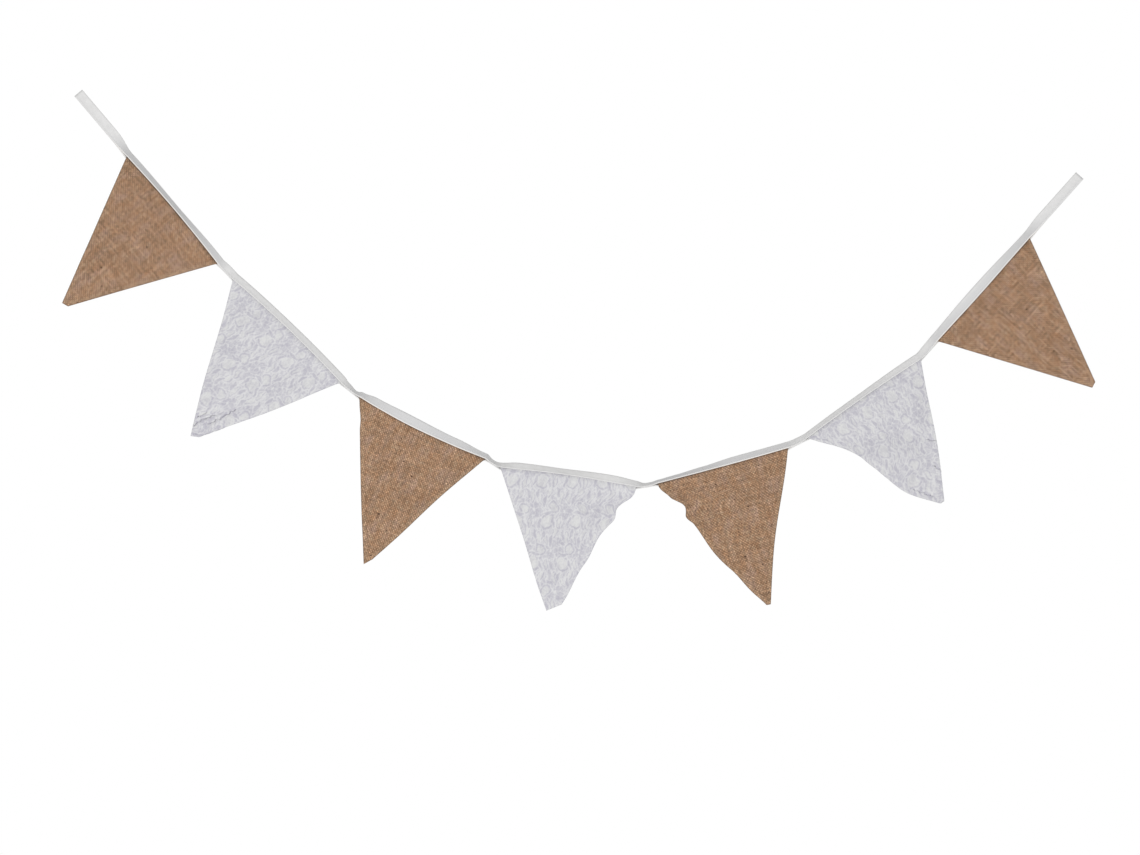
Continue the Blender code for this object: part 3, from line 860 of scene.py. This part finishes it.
def over_gap(before, after):
    """Sections of the plain tape between two pennants, on one smooth curve."""
    start, end = seam_point(before, 1.0), seam_point(after, 0.0)
    length = np.linalg.norm(end - start)
    steps = round(length / SECTION_STEP)
    share = np.arange(1, steps)[:, None] / steps
    leaving = seam_slope(before, 1.0) * (length * GAP_PULL)
    arriving = seam_slope(after, 0.0) * (length * GAP_PULL)
    square, cube = share ** 2, share ** 3
    seam = start * (2.0 * cube - 3.0 * square + 1.0) + leaving * (cube - 2.0 * square + share)
    seam = seam + end * (3.0 * square - 2.0 * cube) + arriving * (cube - square)
    share = share[:, 0]
    turn = np.radians(before.turn + (after.turn - before.turn) * ease(share))
    place = before.number + PENNANT_SHARE + (1.0 - PENNANT_SHARE) * share
    stack = np.where(share < 0.5, cloth_stack(before), cloth_stack(after))
    opened = np.maximum(1.0 - GAP_OPENING * np.minimum(share, 1.0 - share), 0.0)
    slot = GAP / 2.0 + (stack / 2.0 + GAP / 2.0) * opened
    return Sections(seam, turn, place, slot)


stretches = [over_tail(PENNANTS[0], "left")]
for pennant, following in zip(PENNANTS, PENNANTS[1:]):
    stretches += [over_pennant(pennant), over_gap(pennant, following)]
stretches += [over_pennant(PENNANTS[-1]), over_tail(PENNANTS[-1], "right")]
sections = Sections(*(np.concatenate(column) for column in zip(*stretches)))
steps = np.linalg.norm(np.diff(sections.seam, axis=0), axis=1)
tape_run = np.concatenate(((0.0,), np.cumsum(steps)))
print(len(tape_run), "sections over", round(tape_run[-1], 3), "m of tape")

# %% Shape of one section
TAPE_CLOTH = 0.00045
TURNED_IN = 0.0050
INNER_LAYER = 0.00030
OUTER_LAYER = 0.00074
FOOT_RADIUS = 0.00034
FOOT_MIDDLE = 0.00052
STITCH_HEIGHT = 0.0022
STITCH_DENT, DENT_REACH = 0.00018, 0.0011
LIP_HEIGHT, LIP_REACH, LIP_SWELL = 0.0007, 0.0016, 0.00022
FOLD_STEPS = 6


def lip_swell(rise):
    """How far the lower edge swells out at a height over it. The stitches press it in."""
    swell = LIP_SWELL * bell((rise - LIP_HEIGHT) / LIP_REACH)
    return swell - STITCH_DENT * bell((rise - STITCH_HEIGHT) / DENT_REACH)


# Rows of one side, from its raw edge round the lower edge and up. Each row has its rise over
# the seam, how much of the straight side's height is added to that, and its distance out.
half_section = [(TURNED_IN, 0.0, INNER_LAYER), (TURNED_IN / 2.0, 0.0, INNER_LAYER)]
for angle in (90.0, 45.0, 0.0, -45.0):
    rise = FOOT_RADIUS * (1.0 - math.cos(math.radians(angle)))
    out = FOOT_MIDDLE - 1.2 * FOOT_RADIUS * math.sin(math.radians(angle))
    half_section.append((rise, 0.0, out))
for rise in (0.0006, 0.0012, STITCH_HEIGHT, 0.0034):
    half_section.append((rise, 0.0, OUTER_LAYER + lip_swell(rise)))
STITCH_ROW = len(half_section) - 2
half_section += [(0.0, share, OUTER_LAYER) for share in (0.6, 0.8)]
print("half a section has", len(half_section), "rows")

# %% Lay the rows along the tape
tape_width, tape_roll = tape_at(sections.place)
straight = tape_width - TAPE_LAYER - sections.slot
up = -down(sections.turn) * np.cos(tape_roll)[:, None] + BACK * np.sin(tape_roll)[:, None]
behind = BACK * np.cos(tape_roll)[:, None] + down(sections.turn) * np.sin(tape_roll)[:, None]


def tape_row(rise, out):
    """One row of points: rise over the seam, and out behind the middle of the tape."""
    rise = np.broadcast_to(rise, tape_run.shape)[:, None]
    out = np.broadcast_to(out, tape_run.shape)[:, None]
    return sections.seam + up * rise + behind * out


def side_rows(side):
    """All rows of the front (-1) or the back (1)."""
    return [tape_row(rise + share * straight, side * (sections.slot + out))
            for rise, share, out in half_section]


fold_rows = []
for step in range(FOLD_STEPS + 1):
    turn = math.pi * step / FOLD_STEPS
    radius = sections.slot + OUTER_LAYER
    fold_rows.append(tape_row(straight + radius * math.sin(turn), -radius * math.cos(turn)))
tape_rows = np.array(side_rows(-1.0) + fold_rows + side_rows(1.0)[::-1])
print("the tape has", tape_rows.shape[0], "rows and", tape_rows.shape[1], "sections")

# %% Make the tape
row_count, section_count = tape_rows.shape[:2]
shape = bmesh.new()
bmesh.ops.create_grid(shape, x_segments=section_count - 1, y_segments=row_count - 1, size=0.5)
tape = as_piece("tape_cloth", shape)
flat = read_points(tape.data)
section_of = np.round((flat[:, 0] + 0.5) * (section_count - 1)).astype(int)
row_of = np.round((0.5 - flat[:, 1]) * (row_count - 1)).astype(int)
move_points(tape, tape_rows[row_of, section_of])
row_steps = np.linalg.norm(np.diff(tape_rows[:, section_count // 2], axis=0), axis=1)
row_run = np.concatenate(((0.0,), np.cumsum(row_steps)))
add_uv(tape.data, "threads", columns(tape_run[section_of], row_run[row_of]) * MM_PER_METRE)
print("the tape has", len(tape.data.polygons), "faces")

# %% Paint the tape's lower edge, its crease and its shaded stretch
# The lower edge is a folded edge with a painted highlight along it. It shows most against the
# dark hessian. The cloth just above it is drawn in by the stitches and gets painted shade, and
# so does the whole face over the third pennant.
HESSIAN_MIDDLES = (1.4, 3.4, 5.4, 7.4)
LIP_TOP, LIP_FADE = 0.0012, 0.0007
CREASE_RISE, CREASE_REACH, CREASE_SPREAD = 0.0027, 0.0042, 0.0070
SHADED_PLACE, SHADED_REACH = 3.36, 0.5
STRAIGHT_RISE, FOLD_RISE = 0.009, 0.012
rises = [rise + STRAIGHT_RISE * share for rise, share, out in half_section]
row_rise = np.array(rises + [FOLD_RISE] * len(fold_rows) + rises[::-1])[row_of]
from_middle = np.abs(sections.place[:, None] - HESSIAN_MIDDLES).min(axis=1)
over_hessian = ease((0.5 - from_middle) / 0.1)[section_of]
# Painted highlight along the folded lower edge, strongest over the hessian.
lip_highlight = ease((LIP_TOP - row_rise) / LIP_FADE) * (0.15 + 0.85 * over_hessian)
# Painted shade on the crease just above the lower edge.
crease_in_shade = bell((row_rise - CREASE_RISE) / (CREASE_REACH + CREASE_SPREAD * over_hessian))
crease_in_shade = crease_in_shade * (0.3 + 0.7 * over_hessian)
# Painted shade over the whole face above the third pennant.
shaded = bell((sections.place[section_of] - SHADED_PLACE) / SHADED_REACH)
add_paint(tape.data, "lower edge", lip_highlight, crease_in_shade, shaded)
thickness = tape.modifiers.new("cloth thickness", "SOLIDIFY")
thickness.thickness = TAPE_CLOTH
thickness.offset = 0.0
print("unfolded, the tape is", round(row_run[-1] * MM_PER_METRE, 1), "mm wide")

# %% [markdown]
# ## The stitches
# One row of machine stitches holds the pennants in the tape, a little above its lower edge.
# Each stitch is a short bead of thread that rests in the dent it makes. A bead has few faces,
# because there are about a thousand of them.

# %% Sew the tape
STITCH_LENGTH = 0.0025
STITCH_RADIUS = 0.00022
STITCH_REST = 0.4
BEAD_SIDES, BEAD_RINGS = 6, 5


def sew(name, row, outward):
    """A row of stitches on a row of the tape, one between each pair of sections."""
    thread = bmesh.new()
    for section in range(2, section_count - 3):
        start, end = tape_rows[row, section], tape_rows[row, section + 1]
        lengthwise = Vector(end - start).normalized()
        out = Vector(outward[section]).normalized()
        aside = lengthwise.cross(out).normalized()
        raised = TAPE_CLOTH / 2.0 + STITCH_REST * STITCH_RADIUS
        middle = Vector((start + end) / 2.0) + out * raised
        place = Matrix((lengthwise, aside, out)).transposed().to_4x4()
        place.translation = middle
        size = Matrix.Diagonal((STITCH_LENGTH / 2.0, STITCH_RADIUS, STITCH_RADIUS, 1.0))
        matrix = place @ size @ Matrix.Rotation(math.pi / 2.0, 4, "Y")
        bmesh.ops.create_uvsphere(thread, u_segments=BEAD_SIDES, v_segments=BEAD_RINGS,
                                  radius=1.0, matrix=matrix)
    bmesh.ops.recalc_face_normals(thread, faces=thread.faces)
    return as_piece(name, thread)


front_stitches = sew("tape_stitches_front", STITCH_ROW, -behind)
back_stitches = sew("tape_stitches_back", row_count - 1 - STITCH_ROW, behind)
print(front_stitches.name, "has", len(front_stitches.data.polygons), "faces")

# %% [markdown]
# ## Materials
# Each material reads the piece's own threads from its UV map, and the paint made above, so the
# pattern stays on the cloth as it bends. Small helpers keep the node trees short.

# %% Helpers for node trees
MATT_SPECULAR = 0.2
SHEEN_ROUGHNESS = 0.6


def new_finish(name, roughness, sheen):
    """A material with its tree, its shader and a function that adds nodes."""
    material = bpy.data.materials.new(name)
    material.use_nodes = True
    tree = material.node_tree
    shader = tree.nodes["Principled BSDF"]
    shader.inputs["Roughness"].default_value = roughness
    shader.inputs["Specular IOR Level"].default_value = MATT_SPECULAR
    shader.inputs["Sheen Weight"].default_value = sheen
    shader.inputs["Sheen Roughness"].default_value = SHEEN_ROUGHNESS
    return material, tree, shader


def join(tree, value, socket):
    """Links a socket, or sets a plain value."""
    if isinstance(value, bpy.types.NodeSocket):
        tree.links.new(value, socket)
    else:
        socket.default_value = value


def calc(tree, operation, *values):
    """One Math node."""
    node = tree.nodes.new("ShaderNodeMath")
    node.operation = operation
    for value, socket in zip(values, node.inputs):
        join(tree, value, socket)
    return node.outputs[0]


def remap(tree, value, low, high, new_low, new_high):
    """A Map Range node, held to its ends."""
    node = tree.nodes.new("ShaderNodeMapRange")
    for number, socket in zip((value, low, high, new_low, new_high), node.inputs):
        join(tree, number, socket)
    return node.outputs[0]


def mix(tree, share, first, second, blend_type="MIX"):
    """Mixes two colours."""
    node = tree.nodes.new("ShaderNodeMix")
    node.data_type = "RGBA"
    node.blend_type = blend_type
    sockets = node.inputs[0], node.inputs[6], node.inputs[7]
    for value, socket in zip((share, first, second), sockets):
        join(tree, value, socket)
    return node.outputs[2]


# %% Helpers that read what a piece carries
def uv_parts(tree, name):
    """The UV map's two numbers, and both as one vector."""
    uv = tree.nodes.new("ShaderNodeUVMap")
    uv.uv_map = name
    parts = tree.nodes.new("ShaderNodeSeparateXYZ")
    tree.links.new(uv.outputs[0], parts.inputs[0])
    return parts.outputs[0], parts.outputs[1], uv.outputs[0]


def paint_parts(tree, name):
    """The three numbers that were stored as paint."""
    paint = tree.nodes.new("ShaderNodeAttribute")
    paint.attribute_name = name
    parts = tree.nodes.new("ShaderNodeSeparateColor")
    tree.links.new(paint.outputs["Color"], parts.inputs[0])
    return parts.outputs[0], parts.outputs[1], parts.outputs[2]


# %% Helpers for noise and fine relief
def stretched(tree, vector, sizes):
    """The vector with each part multiplied."""
    node = tree.nodes.new("ShaderNodeMapping")
    node.inputs["Scale"].default_value = sizes
    tree.links.new(vector, node.inputs[0])
    return node.outputs[0]


def noise(tree, vector, scale, detail=2.0):
    """Soft random number from 0 to 1."""
    node = tree.nodes.new("ShaderNodeTexNoise")
    node.inputs["Scale"].default_value = scale
    node.inputs["Detail"].default_value = detail
    tree.links.new(vector, node.inputs["Vector"])
    return node.outputs["Fac"]


def streaks(tree, vector, right, below, detail=2.0):
    """Soft random number that changes at its own pace in each direction."""
    return noise(tree, stretched(tree, vector, (right, below, 1.0)), 1.0, detail)


def object_place(tree):
    """Place on the object, in metres."""
    return tree.nodes.new("ShaderNodeTexCoord").outputs["Object"]


def bump(tree, shader, height, distance, strength):
    """Fine relief, too small for the mesh."""
    node = tree.nodes.new("ShaderNodeBump")
    node.inputs["Strength"].default_value = strength
    node.inputs["Distance"].default_value = distance
    tree.links.new(height, node.inputs["Height"])
    tree.links.new(node.outputs[0], shader.inputs["Normal"])


def thread_round(tree, place):
    """1 in the middle of a thread, 0 between two threads."""
    wave = calc(tree, "COSINE", calc(tree, "MULTIPLY", place, 2.0 * math.pi))
    return calc(tree, "MULTIPLY_ADD", wave, 0.5, 0.5)


# %% [markdown]
# ### Jute
# The tone changes from thread to thread, and the holes between threads are painted dark, as
# shade. Broad soft patches lean to pink or to yellow, as undyed jute does, and a few dark
# specks of bark show.

# %% Tones of jute
JUTE = (0.368, 0.220, 0.130, 1.0)
JUTE_PINK = (0.398, 0.262, 0.190, 1.0)
JUTE_RED = (0.348, 0.190, 0.102, 1.0)
JUTE_STRAW = (0.408, 0.276, 0.176, 1.0)
JUTE_STREAK = (0.320, 0.175, 0.098, 1.0)
JUTE_PALE = (0.440, 0.300, 0.210, 1.0)
JUTE_SHADE = (0.085, 0.042, 0.022, 1.0)
BARK = (0.060, 0.030, 0.018, 1.0)
HEM_INSIDE = 0.55
print("plain jute is", JUTE[:3])

# %% Hessian finish: soft patches and streaks
hessian_finish, tree, shader = new_finish("hessian cloth", 0.95, 0.15)
warp_place, weft_place, threads = uv_parts(tree, "threads")
# The weave paint's tone also carries the painted shadow below the tape.
tone, from_edge = paint_parts(tree, "weave")[1:]
pink = remap(tree, streaks(tree, threads, 0.12, 0.07), 0.46, 0.66, 0.0, 0.9)
broad = stretched(tree, threads, (0.15, 0.08, 1.0))
red = remap(tree, noise(tree, broad, 1.4), 0.52, 0.70, 0.0, 0.7)
straw = remap(tree, noise(tree, object_place(tree), 240.0), 0.50, 0.66, 0.0, 0.9)
colour = mix(tree, straw, mix(tree, pink, JUTE, JUTE_PINK), JUTE_STRAW)
colour = mix(tree, red, colour, JUTE_RED)
hem_pale = remap(tree, from_edge, HEM_INSIDE, HEM_INSIDE - 0.08, 0.0, 0.5)
colour = mix(tree, hem_pale, colour, JUTE_STRAW)
warp_streak = remap(tree, streaks(tree, threads, 0.85, 0.055), 0.54, 0.70, 0.0, 0.6)
weft_streak = remap(tree, streaks(tree, threads, 0.06, 0.90), 0.54, 0.70, 0.0, 0.5)
colour = mix(tree, weft_streak, mix(tree, warp_streak, colour, JUTE_STREAK), JUTE_PALE)
print("patches and streaks take", len(tree.nodes), "nodes")

# %% Hessian finish: fibres, and painted light and shade on the crossings
MAIN_RIB_LIGHT, CROSS_RIB_LIGHT = 0.23, 0.07


def painted_crossing_light(direction):
    """Painted light and shade: slanting light and dark lines over the thread crossings."""
    across = calc(tree, "MULTIPLY_ADD", weft_place, direction, warp_place)
    return calc(tree, "COSINE", calc(tree, "MULTIPLY", across, math.pi))


fibres = streaks(tree, threads, 5.0, 1.2, 3.0)
cross_fibres = streaks(tree, threads, 1.2, 5.0, 3.0)
cross_rib_light = calc(tree, "MULTIPLY", painted_crossing_light(1.0), CROSS_RIB_LIGHT)
ribs = calc(tree, "MULTIPLY_ADD", painted_crossing_light(-1.0), MAIN_RIB_LIGHT, cross_rib_light)
shade = calc(tree, "MULTIPLY", remap(tree, tone, -0.8, 1.4, 0.30, 1.56),
             remap(tree, calc(tree, "ADD", fibres, cross_fibres), 0.72, 1.28, 0.66, 1.34))
tangle = streaks(tree, threads, 0.55, 0.55, 1.0)
shade = calc(tree, "MULTIPLY", shade, remap(tree, tangle, 0.25, 0.75, 0.68, 1.30))
# Painted light and shade: the crossings are made lighter and darker in slanting lines.
shade = calc(tree, "MULTIPLY_ADD", ribs, shade, shade)
grey = tree.nodes.new("ShaderNodeCombineColor")
for socket in grey.inputs[:3]:
    tree.links.new(shade, socket)
colour = mix(tree, 1.0, colour, grey.outputs[0], "MULTIPLY")
print("with fibres and painted crossing light there are", len(tree.nodes), "nodes")

# %% Hessian finish: painted shade in the holes, at the hem and at the edges, and specks
# Painted shade: the hollows between threads are darkened towards the shade colour.
hole_shade = calc(tree, "MULTIPLY", calc(tree, "SUBTRACT", 1.0, thread_round(tree, warp_place)),
            calc(tree, "SUBTRACT", 1.0, thread_round(tree, weft_place)))
colour = mix(tree, calc(tree, "MULTIPLY", hole_shade, 0.8), colour, JUTE_SHADE)
specks = remap(tree, streaks(tree, threads, 0.44, 0.62, 0.0), 0.785, 0.83, 0.0, 0.9)
colour = mix(tree, specks, colour, BARK)
# Painted shade: a thin darker line just inside the hem, at its step.
hem_step_shade = calc(tree, "ABSOLUTE", calc(tree, "SUBTRACT", from_edge, HEM_INSIDE + 0.06))
colour = mix(tree, remap(tree, hem_step_shade, 0.12, 0.0, 0.0, 0.22), colour, JUTE_SHADE)
edge_shade = remap(tree, from_edge, 0.0, 0.14, 0.55, 0.0)
tree.links.new(mix(tree, edge_shade, colour, JUTE_SHADE), shader.inputs["Base Color"])
pillows = calc(tree, "MULTIPLY", thread_round(tree, warp_place), thread_round(tree, weft_place))
bump(tree, shader, calc(tree, "ADD", fibres, pillows), 0.0003, 0.6)
print("hessian finish has", len(tree.nodes), "nodes")

# %% [markdown]
# ### Lace, cotton and tape
# Net lets the white cotton through, so open places are lightest and a little warmer. Worked
# cloth and its dark edges are greyer and cooler. Threads much finer than the drawing give the
# lace a broken, speckled tone, which two sizes of noise add here.

# %% Lace finish
LACE_DARK = (0.500, 0.490, 0.546, 1.0)
LACE_LIGHT = (0.706, 0.704, 0.714, 1.0)
OPEN_TINT = (0.992, 0.995, 0.975, 1.0)

lace_finish, tree, shader = new_finish("lace", 0.75, 0.1)
net_place = uv_parts(tree, "net")[2]
tone, height, openness = paint_parts(tree, "drawing")
cells = tree.nodes.new("ShaderNodeTexVoronoi")
cells.feature = "DISTANCE_TO_EDGE"
cells.inputs["Scale"].default_value = 0.85
cells.inputs["Randomness"].default_value = 0.35
tree.links.new(net_place, cells.inputs["Vector"])
net_thread = remap(tree, cells.outputs["Distance"], 0.0, 0.22, 1.0, 0.0)
speckle = streaks(tree, net_place, 0.52, 0.36, 1.5)
patches = streaks(tree, net_place, 0.14, 0.08)
broken = calc(tree, "MULTIPLY_ADD", calc(tree, "SUBTRACT", speckle, 0.5), 1.1, tone)
broken = calc(tree, "MULTIPLY_ADD", calc(tree, "SUBTRACT", patches, 0.5), 1.4, broken)
broken = calc(tree, "MULTIPLY_ADD", net_thread, -0.06, broken)
colour = mix(tree, broken, LACE_DARK, LACE_LIGHT)
tinted = mix(tree, 1.0, colour, OPEN_TINT, "MULTIPLY")
colour = mix(tree, remap(tree, openness, 0.4, 1.0, 0.0, 0.8), colour, tinted)
tree.links.new(colour, shader.inputs["Base Color"])
satin = streaks(tree, net_place, 3.0, 0.8)
worked = calc(tree, "MULTIPLY", satin, calc(tree, "MULTIPLY", height, 2.0))
relief = calc(tree, "ADD", net_thread, worked)
bump(tree, shader, relief, 0.00015, 0.6)
print("lace finish has", len(tree.nodes), "nodes")


# %% Plain white cotton, for the backing, the tape and the thread
def cotton_finish(name, colour, pitch, sheen, has_painted_light=False):
    """A fine plain weave in one pale colour. The tape adds its painted highlight and shade."""
    material, tree, shader = new_finish(name, 0.88, sheen)
    right, below, threads = uv_parts(tree, "threads")
    warp_round = thread_round(tree, calc(tree, "DIVIDE", right, pitch))
    weft_round = thread_round(tree, calc(tree, "DIVIDE", below, pitch))
    weave = calc(tree, "ADD", warp_round, weft_round)
    darker = tuple(0.9 * part for part in colour[:3]) + (1.0,)
    patchy = remap(tree, streaks(tree, threads, 0.15, 0.3, 3.0), 0.35, 0.7, 0.0, 0.7)
    base = mix(tree, patchy, colour, darker)
    # Painted shade: the gaps between the threads are made a little darker.
    base = mix(tree, remap(tree, weave, 0.6, 0.0, 0.0, 0.5), base, darker)
    if has_painted_light:
        lip_highlight, crease_in_shade, shaded = paint_parts(tree, "lower edge")
        # Painted shade over the third pennant and on the crease.
        base = mix(tree, calc(tree, "MULTIPLY", shaded, 0.7), base, TAPE_IN_SHADE)
        base = mix(tree, calc(tree, "MULTIPLY", crease_in_shade, 0.8), base, TAPE_IN_SHADE)
        # Painted highlight on the tape's lower edge.
        base = mix(tree, lip_highlight, base, TAPE_LIP_HIGHLIGHT)
    tree.links.new(base, shader.inputs["Base Color"])
    bump(tree, shader, weave, 0.00008, 0.5)
    return material


TAPE_IN_SHADE = (0.645, 0.643, 0.648, 1.0)
TAPE_LIP_HIGHLIGHT = (0.880, 0.860, 0.840, 1.0)
tape_finish = cotton_finish("tape cotton", (0.787, 0.783, 0.779, 1.0), 0.42, 0.1, has_painted_light=True)
backing_finish = cotton_finish("backing cotton", (0.740, 0.740, 0.745, 1.0), 0.5, 0.1)
thread_finish, tree, shader = new_finish("sewing thread", 0.6, 0.2)
twist = noise(tree, object_place(tree), 1800.0, 1.0)
THREAD_DARK, THREAD_LIGHT = (0.70, 0.70, 0.70, 1.0), (0.80, 0.80, 0.79, 1.0)
tree.links.new(mix(tree, twist, THREAD_DARK, THREAD_LIGHT), shader.inputs["Base Color"])
print(len(bpy.data.materials), "materials so far")

# %% [markdown]
# ## Fitting out
# Each piece gets its finish, takes the place of its solid and rides on the one body.

# %% Give each piece its finish and its body
fitted = []


def fit_out(piece, material, slot, *nodes):
    """Finish, body and replaced solids of one piece. The slot is not used."""
    piece.data.materials.append(material)
    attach(piece, "root")
    if nodes:
        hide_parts(*nodes)
    fitted.append(piece.name)


fit_out(tape, tape_finish, "tape", "tape")
for stitches in (front_stitches, back_stitches):
    fit_out(stitches, thread_finish, "tape")
for pennant in hessian_pennants:
    piece = hessian_pieces[pennant.number]
    fit_out(piece, hessian_finish, "hessian", f"hessian_pennant_{pennant.number}")
for pennant in lace_pennants:
    lace, backing = lace_pieces[pennant.number]
    fit_out(lace, lace_finish, "lace", f"lace_pennant_{pennant.number}")
    fit_out(backing, backing_finish, "cotton", f"cotton_backing_{pennant.number}")
print("fitted out", len(fitted), "pieces:", ", ".join(fitted))

# %% [markdown]
# ## The room
# A pale floor lies well below the bunting. The world is an even white, bright to the eye but
# softer as light, so that two large lamps can still model the folds.

# %% Floor
FLOOR_HEIGHT = -1.25
FLOOR_REACH = 0.8
shape = bmesh.new()
bmesh.ops.create_grid(shape, x_segments=1, y_segments=1, size=FLOOR_REACH)
bmesh.ops.translate(shape, vec=(FRAME_CENTRE.x, 0.0, FLOOR_HEIGHT), verts=shape.verts)
floor = as_piece("floor", shape)
floor_finish, tree, shader = new_finish("pale floor", 0.9, 0.0)
shader.inputs["Base Color"].default_value = (0.85, 0.85, 0.85, 1.0)
floor.data.materials.append(floor_finish)
print("the floor lies at", FLOOR_HEIGHT, "m")

# %% World
BACKGROUND = 1.0
WORLD_LIGHT = 0.42
world = bpy.data.worlds.new("studio")
world.use_nodes = True
tree = world.node_tree
rays = tree.nodes.new("ShaderNodeLightPath")
strength = tree.nodes.new("ShaderNodeMapRange")
strength.inputs["To Min"].default_value = WORLD_LIGHT
strength.inputs["To Max"].default_value = BACKGROUND
tree.links.new(rays.outputs["Is Camera Ray"], strength.inputs["Value"])
sky = tree.nodes["Background"]
sky.inputs["Color"].default_value = (1.0, 1.0, 1.0, 1.0)
tree.links.new(strength.outputs[0], sky.inputs["Strength"])
bpy.context.scene.world = world
bpy.context.scene.view_settings.view_transform = "Standard"
print("the world gives", WORLD_LIGHT, "of its brightness as light")


# %% Lamps
def lamp(name, place, size, power):
    """A large soft lamp that faces the bunting."""
    light = bpy.data.lights.new(name, "AREA")
    light.size = size
    light.energy = power
    holder = bpy.data.objects.new(name, light)
    holder.location = place
    holder.rotation_euler = (FRAME_CENTRE - Vector(place)).to_track_quat("-Z", "Y").to_euler()
    bpy.context.collection.objects.link(holder)


lamp("key lamp", (-0.2, -2.9, -0.5), 1.4, 42.0)
lamp("fill lamp", (1.8, -2.8, -0.8), 1.8, 23.0)
lamp("back lamp", (0.6, 2.8, 1.2), 2.0, 30.0)
print(len(bpy.data.lights), "lamps")
